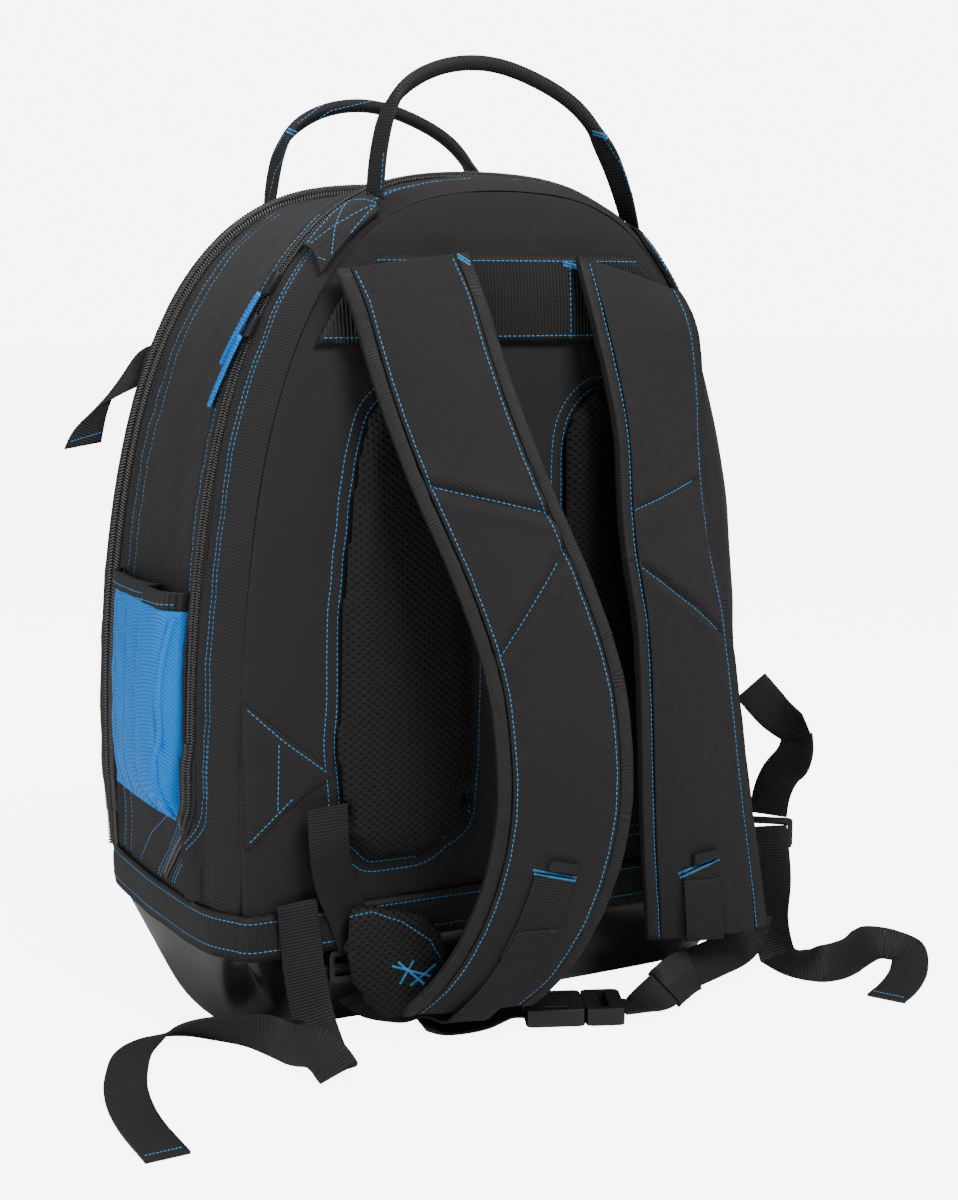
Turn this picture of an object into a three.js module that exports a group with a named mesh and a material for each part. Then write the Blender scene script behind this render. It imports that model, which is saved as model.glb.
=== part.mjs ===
// Tool backpack: an arched cloth bag on a moulded tub, with a padded back, harness and waist belt.
// Millimetres, +Z up, +X to the right and +Y away from someone who faces the harness.
// The origin is the centre of the tub's flat bottom, on the floor.
import * as THREE from 'three';
import { mergeVertices } from 'three/addons/utils/BufferGeometryUtils.js';

// Driving dimensions
const gap = 0.3; // between pieces that touch
const clothWall = 2.5;
const webThickness = 1.8;
const webWidth = 25;
const haulWebWidth = 50;

const bagWidth = 396;
const bagHeight = 432; // of the cloth, above the tub's rim
const backGussetDepth = 32;
const rearZipWidth = 8;
const sideGussetDepth = 132;
const frontZipWidth = 16;
const frontPanelDepth = 31;
const zipProud = 1;
const zipWall = 3.5;

const rimHeight = 85;
const rimShift = 11.5; // of the bag towards the front, from the tub's centre
const bandHeight = 27;
const bandThickness = 3;
const tubWidth = 362;
const tubDepth = 164;
const tubWall = 3;
const tubEdge = 6; // rounding between bottom and walls

const panelRim = 1.5; // thickness of the padded back at its seam
const panelEdge = 5;
const panelPad = 14;
const meshPadHeight = 288;
const meshPadThickness = 6;
const padSeat = 0.7; // under what lies on the padded back
const meshPadOuter = 128; // from the channel's middle to the pads' outer edge
const channelWidth = 46;
const channelShift = 2;
const meshPadFoot = 108;

const strapWidth = 64; // between its bindings
const strapThickness = 12;
const strapEndThickness = 5;
const bindingWidth = 8;
const bindingThickness = 6.5;
const strapTop = 466;
const strapReach = 75; // from the sewn end out to the strap's furthest point

const handleSpan = 172;
const handleRise = 84;
const handleShift = 10;
const handleRoll = 10; // diameter of the rolled grip
const patchLength = 36;
const rearHandleY = -81.5;
const frontHandleY = 102;

const pocketHeight = 130;
const pocketFoot = 131;
const pocketBulgeFront = 8;
const pocketBulgeRear = 15;
const pocketBindingHeight = 11;
const pocketWall = 2;
const pocketEdgeInset = 4; // between the pocket and the zips on either side

const wingWidth = 66;
const wingThickness = 9;
const tabThickness = 3;
const tailRun = 150;
const keeperWall = 1.5;
const buckleLength = 62;
const buckleWidth = 34;
const buckleThickness = 11;
const beltSeat = 0.4; // between the buckle and the ends of the belt's webbing
const lockWidth = 33;
const lockLength = 20;
const lockThickness = 4;
const lockDrop = 1.2; // from the rim band down to the left lock
const pullerLength = 46;
const pullerWidth = 8;
const pullerThickness = 3;
const pullerLift = 7; // of its top end, over the zip
const pullerEndLift = 5;
const sliderLength = 15;
const sliderThickness = 3;

const black = 0x17171a;
const charcoal = 0x26262a;
const webbingBlack = 0x131315;
const blue = 0x0f86e0;

// Derived places
const bagDepth = backGussetDepth + rearZipWidth + sideGussetDepth + frontZipWidth + frontPanelDepth;
const backSeam = rimShift - bagDepth / 2;
const rearZipStart = backSeam + backGussetDepth;
const sideStart = rearZipStart + rearZipWidth;
const frontZipStart = sideStart + sideGussetDepth;
const frontStart = frontZipStart + frontZipWidth;
const frontFaceY = backSeam + bagDepth;
const bandBack = backSeam - panelEdge - bandThickness; // outer face of the rim band at the back

const { lerp, clamp, smoothstep } = THREE.MathUtils;
const V = (x, y, z) => new THREE.Vector3(x, y, z);
const steps = (count, from = 0, to = 1) =>
  Array.from({ length: count + 1 }, (_, i) => lerp(from, to, i / count));
const valueAt = (size, share) => (typeof size === 'function' ? size(share) : size);

// A table's column on a smooth curve through its rows, at a place along the key column.
function fromTable(table, key, column, place) {
  const last = table.length - 1;
  const found = table.findIndex(row => row[key] >= place);
  const next = clamp(found < 0 ? last : found, 1, last);
  const slope = i => {
    const before = table[Math.max(i - 1, 0)];
    const after = table[Math.min(i + 1, last)];
    return (after[column] - before[column]) / (after[key] - before[key]);
  };
  const a = table[next - 1];
  const b = table[next];
  const width = b[key] - a[key];
  const t = clamp((place - a[key]) / width, 0, 1);
  const ease = t * t * (3 - 2 * t);
  const leave = t * (1 - t) * (1 - t) * width * slope(next - 1);
  const arrive = t * t * (1 - t) * width * slope(next);
  return lerp(a[column], b[column], ease) + leave - arrive;
}

// Closed body from points and quads: it drops faces without area and turns its faces outwards.
function body(points, quads) {
  const flat = new THREE.BufferGeometry();
  flat.setAttribute('position', new THREE.Float32BufferAttribute(points.flatMap(p => p.toArray()), 3));
  flat.setIndex(quads.flatMap(([a, b, c, d]) => [a, b, c, a, c, d]));
  const geometry = mergeVertices(flat, 1e-3);
  const index = geometry.index.array;
  const corner = i => V().fromBufferAttribute(geometry.attributes.position, i);
  const faces = [];
  let volume = 0;
  for (let i = 0; i < index.length; i += 3) {
    const [a, b, c] = index.slice(i, i + 3);
    if (a === b || b === c || c === a) continue;
    faces.push([a, b, c]);
    volume += corner(a).dot(corner(b).cross(corner(c)));
  }
  geometry.setIndex(faces.flatMap(([a, b, c]) => (volume < 0 ? [a, c, b] : [a, b, c])));
  return geometry;
}

// Quads of one grid of points; a looped grid joins its last column to its first.
function gridQuads(rows, columns, start, looped) {
  const quads = [];
  for (let row = 0; row < rows - 1; row++) {
    for (let column = 0; column < (looped ? columns : columns - 1); column++) {
      const next = (column + 1) % columns;
      const here = start + row * columns;
      quads.push([here + column, here + next, here + columns + next, here + columns + column]);
    }
  }
  return quads;
}

// Body between two grids of the same rows and columns, closed along their edges.
function between(outer, inner, looped = false) {
  const rows = outer.length;
  const columns = outer[0].length;
  const half = rows * columns;
  const quads = gridQuads(rows, columns, 0, looped);
  quads.push(...gridQuads(rows, columns, half, looped).map(quad => quad.toReversed()));
  const wall = (a, b) => quads.push([b, a, a + half, b + half]);
  for (let column = 0; column < (looped ? columns : columns - 1); column++) {
    const next = (column + 1) % columns;
    const last = half - columns;
    wall(column, next);
    wall(last + next, last + column);
  }
  for (let row = 0; row < rows - 1 && !looped; row++) {
    wall((row + 1) * columns, row * columns);
    wall((row + 1) * columns - 1, (row + 2) * columns - 1);
  }
  return body([...outer.flat(), ...inner.flat()], quads);
}

// Body through closed rings, with flat ends.
function loft(rings) {
  const middle = ring => ring.reduce((sum, p) => sum.add(p), V()).divideScalar(ring.length);
  const cap = ring => ring.map(() => middle(ring));
  const grid = [cap(rings[0]), ...rings, cap(rings.at(-1))];
  return body(grid.flat(), gridQuads(grid.length, rings[0].length, 0, true));
}

// The bag's arch at a depth y: turn runs from 0 at the left foot over the top to 1 at the right foot.
const archPower = 2.8;
const archSteps = 24;
const bagSections = [
  { depth: 0, width: 0.869, height: 0.981 },
  { depth: 0.064, width: 0.924, height: 0.998 },
  { depth: 0.146, width: 0.949, height: 1 },
  { depth: 0.447, width: 0.99, height: 0.998 },
  { depth: 0.785, width: 1, height: 0.991 },
  { depth: 0.858, width: 0.99, height: 0.986 },
  { depth: 0.922, width: 0.949, height: 0.97 },
  { depth: 0.959, width: 0.894, height: 0.949 },
  { depth: 0.986, width: 0.758, height: 0.891 },
];
const shoulderEnd = backSeam + bagSections.at(-1).depth * bagDepth;

function bagArch(y) {
  const depth = (y - backSeam) / bagDepth;
  return {
    halfWidth: (fromTable(bagSections, 'depth', 'width', depth) * bagWidth) / 2,
    height: fromTable(bagSections, 'depth', 'height', depth) * bagHeight,
  };
}

function bagPoint(y, turn) {
  const { halfWidth, height } = bagArch(y);
  const angle = Math.PI * (1 - turn);
  const across = Math.cos(angle);
  const x = halfWidth * Math.sign(across) * Math.abs(across) ** (2 / archPower);
  const z = rimHeight + height * Math.abs(Math.sin(angle)) ** (2 / archPower);
  return V(x, y, z);
}

function bagNormal(y, turn) {
  const nudge = 0.002;
  const around = bagPoint(y, Math.min(turn + nudge, 1)).sub(bagPoint(y, Math.max(turn - nudge, 0)));
  const deeper = bagPoint(y + 1, turn).sub(bagPoint(y - 1, turn));
  return around.cross(deeper).normalize();
}

function bagOffset(y, turn, lift) {
  const point = bagPoint(y, turn).addScaledVector(bagNormal(y, turn), lift);
  point.z = Math.max(point.z, rimHeight);
  return point;
}

function turnAtHeight(y, z, side) {
  const rise = clamp((z - rimHeight) / bagArch(y).height, 0, 1);
  const angle = Math.asin(rise ** (archPower / 2));
  return side < 0 ? angle / Math.PI : 1 - angle / Math.PI;
}

function turnAtX(y, x) {
  const reach = clamp(Math.abs(x) / bagArch(y).halfWidth, 0, 1);
  const angle = Math.acos(reach ** (archPower / 2));
  return x < 0 ? angle / Math.PI : 1 - angle / Math.PI;
}

// Piece of sheet on the bag, between two lifts from its surface.
function onBag(places, low, high) {
  const skin = lift =>
    places.map(row => row.map(({ y, turn, bulge = 0 }) => bagOffset(y, turn, lift + bulge)));
  return between(skin(high), skin(low));
}

function bagShell(from, to, rows, proud = 0, wall = clothWall) {
  const places = steps(rows, from, to).map(y => steps(archSteps).map(turn => ({ y, turn })));
  return onBag(places, proud - wall, proud);
}

// Front panel: the arch turns over a shoulder, then closes as nested arches round its foot's middle.
const frontNests = [0.8, 0.55, 0.28, 0];
const frontNestY = nest => lerp(frontFaceY, shoulderEnd, nest * nest);

function frontPanel() {
  const shoulderRows = 6;
  const skin = lift => {
    const shoulder = steps(shoulderRows, frontStart + gap, shoulderEnd).map(y =>
      steps(archSteps).map(turn => bagOffset(y, turn, lift)),
    );
    const face = frontNests.map(nest =>
      steps(archSteps).map(turn => {
        const edge = bagPoint(shoulderEnd, turn);
        return V(edge.x * nest, frontNestY(nest) + lift, lerp(rimHeight, edge.z, nest));
      }),
    );
    return [...shoulder, ...face];
  };
  return between(skin(0), skin(-clothWall));
}

// Padded back: nested arches whose thickness grows from the seam and from the foot.
const panelFootRises = [0, 0.035, 0.07, 0.105, 0.14, 0.2, 0.3];
const panelTurns = [
  ...panelFootRises.map(rise => Math.asin(rise ** (archPower / 2)) / Math.PI),
  ...steps(16, 0.09, 0.91),
  ...panelFootRises.map(rise => 1 - Math.asin(rise ** (archPower / 2)) / Math.PI).toReversed(),
];
const panelNests = [1, 0.985, 0.955, 0.92, 0.88, 0.84, 0.6, 0.3, 0];
const round = share => Math.sqrt(1 - (1 - clamp(share, 0, 1)) ** 2);

function panelNest(x, z) {
  const { halfWidth, height } = bagArch(backSeam);
  const across = Math.abs(x) / halfWidth;
  const up = Math.max(z - rimHeight, 0) / height;
  return (across ** archPower + up ** archPower) ** (1 / archPower);
}

function panelThickness(x, z) {
  const inwards = 1 - panelNest(x, z);
  const edge = lerp(panelRim, panelEdge, round(inwards / 0.05));
  const pad = smoothstep(inwards, 0, 0.16) * smoothstep(z - rimHeight, 0, 0.14 * bagHeight);
  return edge + (panelPad - panelEdge) * pad;
}

const panelFace = (x, z, lift = 0) => V(x, backSeam - panelThickness(x, z) - lift, z);

function backPanel() {
  const place = (nest, turn) => {
    const edge = bagPoint(backSeam, turn);
    return { x: edge.x * nest, z: rimHeight + (edge.z - rimHeight) * nest };
  };
  const face = point => panelNests.map(nest => panelTurns.map(turn => point(place(nest, turn))));
  return between(face(({ x, z }) => panelFace(x, z)), face(({ x, z }) => V(x, backSeam, z)));
}

function panelHalfWidth(z, nest) {
  const { halfWidth, height } = bagArch(backSeam);
  const up = (z - rimHeight) / height;
  return halfWidth * Math.max(nest ** archPower - up ** archPower, 0) ** (1 / archPower);
}

// Mesh pads: outline as shares of the pad's height and of its outer edge and channel.
const meshPadRows = [
  { up: 0, outer: 0.72, inner: 0.34 },
  { up: 0.025, outer: 0.83, inner: 0.2 },
  { up: 0.07, outer: 0.93, inner: 0.06 },
  { up: 0.16, outer: 0.985, inner: 0 },
  { up: 0.27, outer: 1, inner: 0 },
  { up: 0.57, outer: 0.955, inner: 0 },
  { up: 0.74, outer: 0.9, inner: 0 },
  { up: 0.87, outer: 0.835, inner: 0 },
  { up: 0.94, outer: 0.77, inner: 0.06 },
  { up: 0.98, outer: 0.68, inner: 0.18 },
  { up: 1, outer: 0.57, inner: 0.3 },
];

function meshPad(side) {
  const columns = 6;
  const skin = raised =>
    meshPadRows.map(row =>
      steps(columns).map(share => {
        const near = channelWidth / 2;
        const far = lerp(near, meshPadOuter, row.outer);
        const x = channelShift + side * lerp(lerp(near, meshPadOuter, row.inner), far, share);
        const z = meshPadFoot + row.up * meshPadHeight;
        const across = round(Math.min(share, 1 - share) * columns * 0.8);
        const along = round(Math.min(row.up, 1 - row.up) / 0.05);
        const crown = 0.35 + 0.65 * Math.min(across, along);
        return panelFace(x, z, padSeat + (raised ? meshPadThickness * crown : 0));
      }),
    );
  return between(skin(true), skin(false));
}

function haulWeb() {
  const rows = 3;
  const columns = 18;
  const skin = lift =>
    steps(rows, strapTop + 4 - haulWebWidth, strapTop + 4).map(z =>
      steps(columns, -1, 1).map(share => panelFace(share * panelHalfWidth(z, 0.965), z, lift)),
    );
  return between(skin(padSeat + webThickness), skin(padSeat));
}

// Plan of the bag's foot, which the tub's rim and the rim band follow: a loop seen from above.
const footNests = [1, 0.99, 0.97, 0.95, 0.7, 0.35];

function footPlan(offset) {
  const { halfWidth } = bagArch(backSeam);
  const back = footNests.toReversed().map(nest => {
    const thickness = lerp(panelRim, panelEdge, round((1 - nest) / 0.05));
    return [nest * halfWidth, backSeam - thickness];
  });
  const sides = [0, ...bagSections.slice(1).map(row => row.depth)].map(depth => {
    const y = backSeam + depth * bagDepth;
    return [bagArch(y).halfWidth, y];
  });
  const front = frontNests.slice(0, -1).map(nest => [
    nest * bagArch(shoulderEnd).halfWidth,
    frontNestY(nest),
  ]);
  const right = [...back, ...sides, ...front];
  const left = right.map(([x, y]) => [-x, y]).toReversed();
  const loop = [[0, backSeam - panelEdge], ...right, [0, frontFaceY], ...left];
  return loop.map(([x, y], i) => {
    const [ax, ay] = loop.at(i - 1);
    const [bx, by] = loop[(i + 1) % loop.length];
    const length = Math.hypot(bx - ax, by - ay);
    return [x + ((by - ay) / length) * offset, y - ((bx - ax) / length) * offset];
  });
}

// Tub: rows from the middle of the bottom out and up to the rim, outside and inside.
const tubPower = 6;
const tubRows = [
  { flare: 0, spread: 0, up: 0 },
  { flare: 0, spread: 1, up: 0, inset: 1 },
  { flare: 0, spread: 1, up: 0.35, inset: 0.3 },
  { flare: 0.06, spread: 1, up: 1, inset: 0 },
  { flare: 0.5, spread: 1, rise: 0.32 },
  { flare: 0.93, spread: 1, rise: 0.62 },
  { flare: 1, spread: 1, rise: 0.7 },
  { flare: 1, spread: 1, rise: 1 },
];

function tub() {
  const top = rimHeight - gap;
  const skin = thickness =>
    tubRows.map(({ flare, spread, up, inset = 0, rise }) => {
      const z = rise === undefined ? Math.max(up * tubEdge, thickness) : rise * top;
      return footPlan(-gap - thickness).map(([x, y]) => {
        const length = Math.hypot(x, y);
        const grow = -thickness - inset * tubEdge;
        const across = Math.abs(x / length) / (tubWidth / 2 + grow);
        const deep = Math.abs(y / length) / (tubDepth / 2 + grow);
        const reach = (across ** tubPower + deep ** tubPower) ** (-1 / tubPower);
        const bottom = V((x / length) * reach, (y / length) * reach, z);
        return bottom.lerp(V(x, y, z), flare).multiply(V(spread, spread, 1));
      });
    });
  return between(skin(0), skin(tubWall), true);
}

function rimBand() {
  const skin = offset =>
    [rimHeight - bandHeight, rimHeight - gap].map(z => footPlan(offset).map(([x, y]) => V(x, y, z)));
  return between(skin(bandThickness), skin(0), true);
}

// Places along a strap: centre, width direction and face direction, evenly spaced along its route.
// A square track's width directions are turned at right angles to the route.
function track(route, count, square = true) {
  const centre = new THREE.CatmullRomCurve3(route.map(row => row.at), false, 'centripetal');
  const widthways = new THREE.CatmullRomCurve3(route.map(row => row.side), false, 'centripetal');
  return steps(count).map(share => {
    const t = centre.getUtoTmapping(share);
    const tangent = centre.getTangent(t);
    const side = widthways.getPoint(t);
    if (square) side.addScaledVector(tangent, -side.dot(tangent));
    side.normalize();
    return { at: centre.getPoint(t), side, face: tangent.clone().cross(side).normalize(), share };
  });
}

const beside = (place, across, out) =>
  place.at.clone().addScaledVector(place.side, across).addScaledVector(place.face, out);

// Closed strap along a track; its profile lists thickness shares across the width.
function strip(places, { width, thickness, offset = 0, lift = 0, profile = [1, 1] }) {
  const skin = sign =>
    places.map(place =>
      profile.map((crown, column) => {
        const across = column / (profile.length - 1) - 0.5;
        const out = lift + (sign * crown * valueAt(thickness, place.share)) / 2;
        return beside(place, offset + across * valueAt(width, place.share), out);
      }),
    );
  return between(skin(1), skin(-1));
}

const web = places => strip(places, { width: webWidth, thickness: webThickness });

// Shoulder straps: routes from the sewn top end, as shares of half the bag's width,
// of the strap's reach from the back and of the height of its sewn end.
const leftStrapRoute = [
  { across: -0.364, out: 0, up: 1, yaw: -0.07, roll: 0.13 },
  { across: -0.333, out: 0.12, up: 0.953, yaw: -0.1, roll: 0.05 },
  { across: -0.313, out: 0.26, up: 0.891, yaw: -0.16, roll: 0 },
  { across: -0.273, out: 0.42, up: 0.813, yaw: -0.225, roll: 0 },
  { across: -0.212, out: 0.63, up: 0.717, yaw: -0.225, roll: 0 },
  { across: -0.141, out: 0.76, up: 0.637, yaw: -0.225, roll: 0 },
  { across: -0.091, out: 0.87, up: 0.569, yaw: -0.225, roll: 0 },
  { across: -0.040, out: 0.95, up: 0.489, yaw: -0.225, roll: 0 },
  { across: -0.025, out: 1.00, up: 0.418, yaw: -0.225, roll: 0 },
  { across: -0.015, out: 1.00, up: 0.337, yaw: -0.225, roll: 0 },
  { across: -0.030, out: 0.94, up: 0.262, yaw: -0.225, roll: 0 },
  { across: -0.061, out: 0.84, up: 0.195, yaw: -0.225, roll: 0 },
  { across: -0.111, out: 0.70, up: 0.129, yaw: -0.225, roll: 0 },
  { across: -0.177, out: 0.54, up: 0.075, yaw: -0.225, roll: 0 },
  { across: -0.222, out: 0.38, up: 0.045, yaw: -0.225, roll: 0 },
];
const rightStrapRoute = [
  { across: 0.394, out: 0.01, up: 0.985, yaw: 0.12, roll: -0.27 },
  { across: 0.414, out: 0.13, up: 0.938, yaw: 0.14, roll: -0.1 },
  { across: 0.429, out: 0.21, up: 0.888, yaw: 0.2, roll: 0 },
  { across: 0.449, out: 0.27, up: 0.803, yaw: 0.32, roll: 0 },
  { across: 0.449, out: 0.36, up: 0.700, yaw: 0.32, roll: 0 },
  { across: 0.460, out: 0.44, up: 0.616, yaw: 0.3, roll: 0 },
  { across: 0.490, out: 0.48, up: 0.552, yaw: 0.27, roll: 0 },
  { across: 0.510, out: 0.52, up: 0.455, yaw: 0.2, roll: 0 },
  { across: 0.535, out: 0.52, up: 0.345, yaw: 0.1, roll: 0 },
  { across: 0.576, out: 0.48, up: 0.219, yaw: -0.05, roll: 0 },
  { across: 0.611, out: 0.44, up: 0.135, yaw: -0.15, roll: 0 },
  { across: 0.626, out: 0.42, up: 0.092, yaw: -0.2, roll: 0 },
];
const strapSteps = 20;

function strapTrack(route) {
  const top = V((route[0].across * bagWidth) / 2, 0, route[0].up * strapTop);
  const seat = padSeat + webThickness + gap + strapEndThickness / 2;
  const startY = panelFace(top.x, top.z, seat).y;
  const rows = route.map(({ across, out, up, yaw, roll }) => ({
    at: V((across * bagWidth) / 2, startY - out * strapReach, up * strapTop),
    side: V(1, yaw, roll),
  }));
  return track(rows, strapSteps, false);
}

const strapTaper = share => {
  const ends = smoothstep(share, 0, 0.08) * smoothstep(1 - share, -0.02, 0.04);
  return lerp(strapEndThickness, strapThickness, ends);
};

function shoulderStrap(places) {
  return strip(places, {
    width: strapWidth,
    thickness: strapTaper,
    profile: [0.62, 0.93, 1, 0.93, 0.62],
  });
}

function strapBinding(places, side) {
  return strip(places, {
    width: bindingWidth,
    thickness: share => Math.min(bindingThickness, strapTaper(share)),
    offset: side * (strapWidth / 2 + 2 * gap + bindingWidth / 2),
    profile: [0.8, 1, 0.8],
  });
}

// Points of the harness near the tub, as shares of half the bag's width, of the strap's reach
// out from the rim band, and of the rim's height.
const byTub = ({ across, out, up }) =>
  V((across * bagWidth) / 2, bandBack - out * strapReach, up * rimHeight);
const byTubRows = rows => rows.map(row => ({ at: byTub(row), side: V(...row.side) }));

const onwardSteps = 14;

// Webbing sewn on a strap's face, led down over its end and on along the rows that follow.
function loadWeb(places, { sewnShare, offset, onward }) {
  const lift = strapThickness / 2 + 2 * gap + webThickness / 2;
  const sewn = places
    .filter(place => place.share >= sewnShare)
    .map(place => ({ ...place, at: beside(place, offset, lift) }));
  const last = sewn.at(-1);
  const free = track([{ at: last.at, side: last.side }, ...byTubRows(onward)], onwardSteps, false);
  return web([...sewn, ...free.slice(1)]);
}
const leftLoad = {
  sewnShare: 0.81,
  offset: 0,
  onward: [
    { across: -0.235, out: 0.42, up: 0.13, side: [1, -0.25, 0] },
    { across: -0.28, out: 0.25, up: 0.17, side: [0.9, 0.2, 0] },
    { across: -0.36, out: 0.1, up: 0.2, side: [0.6, 0.2, 0.6] },
    { across: -0.46, out: 0.02, up: 0.25, side: [0.7, 0, 0.7] },
    { across: -0.52, out: -0.02, up: 0.34, side: [0.95, 0, 0.3] },
  ],
};
const rightLoad = {
  sewnShare: 0.88,
  offset: -4,
  onward: [
    { across: 0.64, out: 0.39, up: 0.435, side: [1, -0.2, 0] },
    { across: 0.7, out: 0.18, up: 0.43, side: [0.95, 0.3, 0] },
    { across: 0.8, out: 0.05, up: 0.5, side: [0.6, 0, 0.75] },
    { across: 0.88, out: -0.01, up: 0.54, side: [0.75, -0.2, 0.6] },
  ],
};

function roundedLoop(path, x, y, width, length, corner) {
  const [w, l] = [width / 2, length / 2];
  path.moveTo(x - w + corner, y - l);
  path.lineTo(x + w - corner, y - l);
  path.quadraticCurveTo(x + w, y - l, x + w, y - l + corner);
  path.lineTo(x + w, y + l - corner);
  path.quadraticCurveTo(x + w, y + l, x + w - corner, y + l);
  path.lineTo(x - w + corner, y + l);
  path.quadraticCurveTo(x - w, y + l, x - w, y + l - corner);
  path.lineTo(x - w, y - l + corner);
  path.quadraticCurveTo(x - w, y - l, x - w + corner, y - l);
  return path;
}

// Flat plastic piece with straight-through windows, placed by its middle, width and face directions.
function plate({ width, length, thickness, corner, windows, at, side, face }) {
  const outline = roundedLoop(new THREE.Shape(), 0, 0, width, length, corner);
  outline.holes = windows.map(({ across, along, wide, long }) =>
    roundedLoop(new THREE.Path(), across, along, wide, long, Math.min(wide, long) / 4),
  );
  const geometry = new THREE.ExtrudeGeometry(outline, {
    depth: thickness,
    bevelEnabled: false,
    curveSegments: 2,
  });
  geometry.translate(0, 0, -thickness / 2);
  const up = face.clone().cross(side);
  geometry.applyMatrix4(new THREE.Matrix4().makeBasis(side, up, face).setPosition(at));
  return geometry;
}

const lockSlot = 4;
const underBand = (rimHeight - bandHeight - lockDrop - lockLength / 2) / rimHeight;
const leftLock = {
  place: { across: -0.525, out: -0.02, up: underBand },
  side: V(1, 0, 0),
  face: V(0, -1, 0),
};
const rightLock = {
  place: { across: 0.99, out: -0.02, up: 1.07 },
  side: V(0.8, -0.6, 0),
  face: V(-0.6, -0.8, 0),
};

function ladderLock({ place, side, face }) {
  const slot = along => ({ across: 0, along, wide: webWidth + 1, long: lockSlot });
  return plate({
    width: lockWidth,
    length: lockLength,
    thickness: lockThickness,
    corner: 3,
    windows: [slot(lockLength / 5), slot(-lockLength / 5)],
    at: byTub(place),
    side,
    face,
  });
}

// Sewn triangle on the back panel's lower corner: rows from the seam in to the webbing.
const anchorTabRows = [
  { across: 0.845, low: 0.86, high: 1 },
  { across: 0.735, low: 0.69, high: 0.87 },
  { across: 0.67, low: 0.7, high: 0.81 },
];
const anchorTabTop = 212;

function anchorTab(side) {
  const skin = lift =>
    anchorTabRows.map(({ across, low, high }) =>
      steps(3, low, high).map(share =>
        panelFace((side * across * bagWidth) / 2, share * anchorTabTop, lift),
      ),
    );
  return between(skin(padSeat + gap + tabThickness), skin(padSeat + gap));
}

const leftAnchorRows = [
  { across: -0.635, out: 0.19, up: 1.78, side: [1, 0, 0.1] },
  { across: -0.63, out: 0.18, up: 1.5, side: [1, 0, 0.15] },
  { across: -0.6, out: 0.08, up: 1.2, side: [1, 0, 0.2] },
  { across: -0.555, out: 0.025, up: 0.95, side: [1, 0, 0.25] },
  { across: -0.52, out: 0.025, up: 0.7, side: [1, 0, 0.2] },
];
const rightAnchorRows = [
  { across: 0.892, out: 0.04, up: 2.28, side: [-0.1, -0.5, -0.85] },
  { across: 0.925, out: 0.29, up: 2.1, side: [0, -0.5, -0.85] },
  { across: 0.95, out: 0.53, up: 1.98, side: [0.2, -0.5, -0.8] },
  { across: 0.957, out: 0.47, up: 1.78, side: [0.4, -0.8, -0.4] },
  { across: 0.965, out: 0.24, up: 1.6, side: [0.6, -0.8, 0] },
  { across: 0.98, out: 0.06, up: 1.4, side: [0.7, -0.7, 0] },
  { across: 0.99, out: -0.02, up: 1.215, side: [0.8, -0.6, 0] },
];

// Loose ends: the hanging stretch, then the run on the floor, whose lower edge rests there.
const leftTailHang = [
  { across: -0.715, out: 0.035, up: 1.08, side: [1, 0, 0] },
  { across: -0.7, out: 0.06, up: 0.6, side: [0.98, -0.1, 0] },
  { across: -0.68, out: 0.13, up: 0.24, side: [0.97, -0.2, 0] },
];
const leftTailFloor = [
  { x: 0.01, y: -0.13, side: [0.97, -0.2, 0.03] },
  { x: -0.01, y: -0.25, side: [0.96, -0.2, 0.08] },
  { x: -0.035, y: -0.345, lift: 0.05, side: [0.85, 0.07, 0.52] },
  { x: -0.075, y: -0.2, lift: 0.1, side: [0.43, 0.31, 0.85] },
  { x: -0.15, y: 0.02, side: [0.32, 0.08, 0.95] },
  { x: -0.23, y: 0.13, side: [0, -0.45, 0.89] },
  { x: -0.365, y: 0.25, side: [-0.19, -0.65, 0.73] },
  { x: -0.5, y: 0.35, side: [-0.35, -0.85, 0.39] },
  { x: -0.63, y: 0.31, side: [0.1, -0.98, 0.12] },
  { x: -0.735, y: 0.1, side: [0.65, -0.74, 0.15] },
  { x: -0.79, y: -0.08, side: [0.89, -0.44, 0.05] },
  { x: -0.82, y: -0.35, side: [0.94, -0.34, 0] },
  { x: -0.805, y: -0.68, side: [0.99, -0.15, 0] },
];
const rightTailHang = [
  { across: 0.98, out: 0.02, up: 1.13, side: [0.8, -0.6, 0] },
  { across: 0.995, out: 0.055, up: 0.7, side: [0.7, -0.7, 0] },
  { across: 1.01, out: -0.03, up: 0.33, side: [0.7, -0.65, 0.1] },
];
const rightTailFloor = [
  { x: 0.03, y: -0.04, side: [0.9, -0.2, 0.2] },
  { x: 0.02, y: -0.19, side: [0.75, 0.45, 0.45] },
  { x: 0.06, y: -0.315, side: [0.1, 0.5, 0.86] },
  { x: 0.195, y: -0.315, side: [-0.1, 0.25, 0.96] },
  { x: 0.35, y: -0.215, side: [-0.1, 0.5, 0.8] },
  { x: 0.49, y: -0.155, side: [0.2, 0.7, 0.65] },
  { x: 0.575, y: -0.25, side: [0.75, 0.45, 0.4] },
  { x: 0.485, y: -0.39, side: [0.75, -0.6, 0.1] },
  { x: 0.305, y: -0.55, side: [0.6, -0.8, 0] },
  { x: 0.16, y: -0.64, side: [0.51, -0.86, 0] },
];
const tailSteps = 34;

function tail(hang, floor) {
  const start = byTub(hang.at(-1));
  const resting = floor.map(({ x, y, lift = 0, side }) => ({
    at: V(start.x + x * tailRun, start.y + y * tailRun, lift * tailRun + webThickness),
    side: V(...side),
  }));
  const places = track([...byTubRows(hang), ...resting], tailSteps);
  for (const { at, side, face } of places) {
    const lowest = at.z - (Math.abs(side.z) * webWidth + Math.abs(face.z) * webThickness) / 2;
    at.z += Math.max(0, -lowest);
  }
  return web(places);
}

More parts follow.
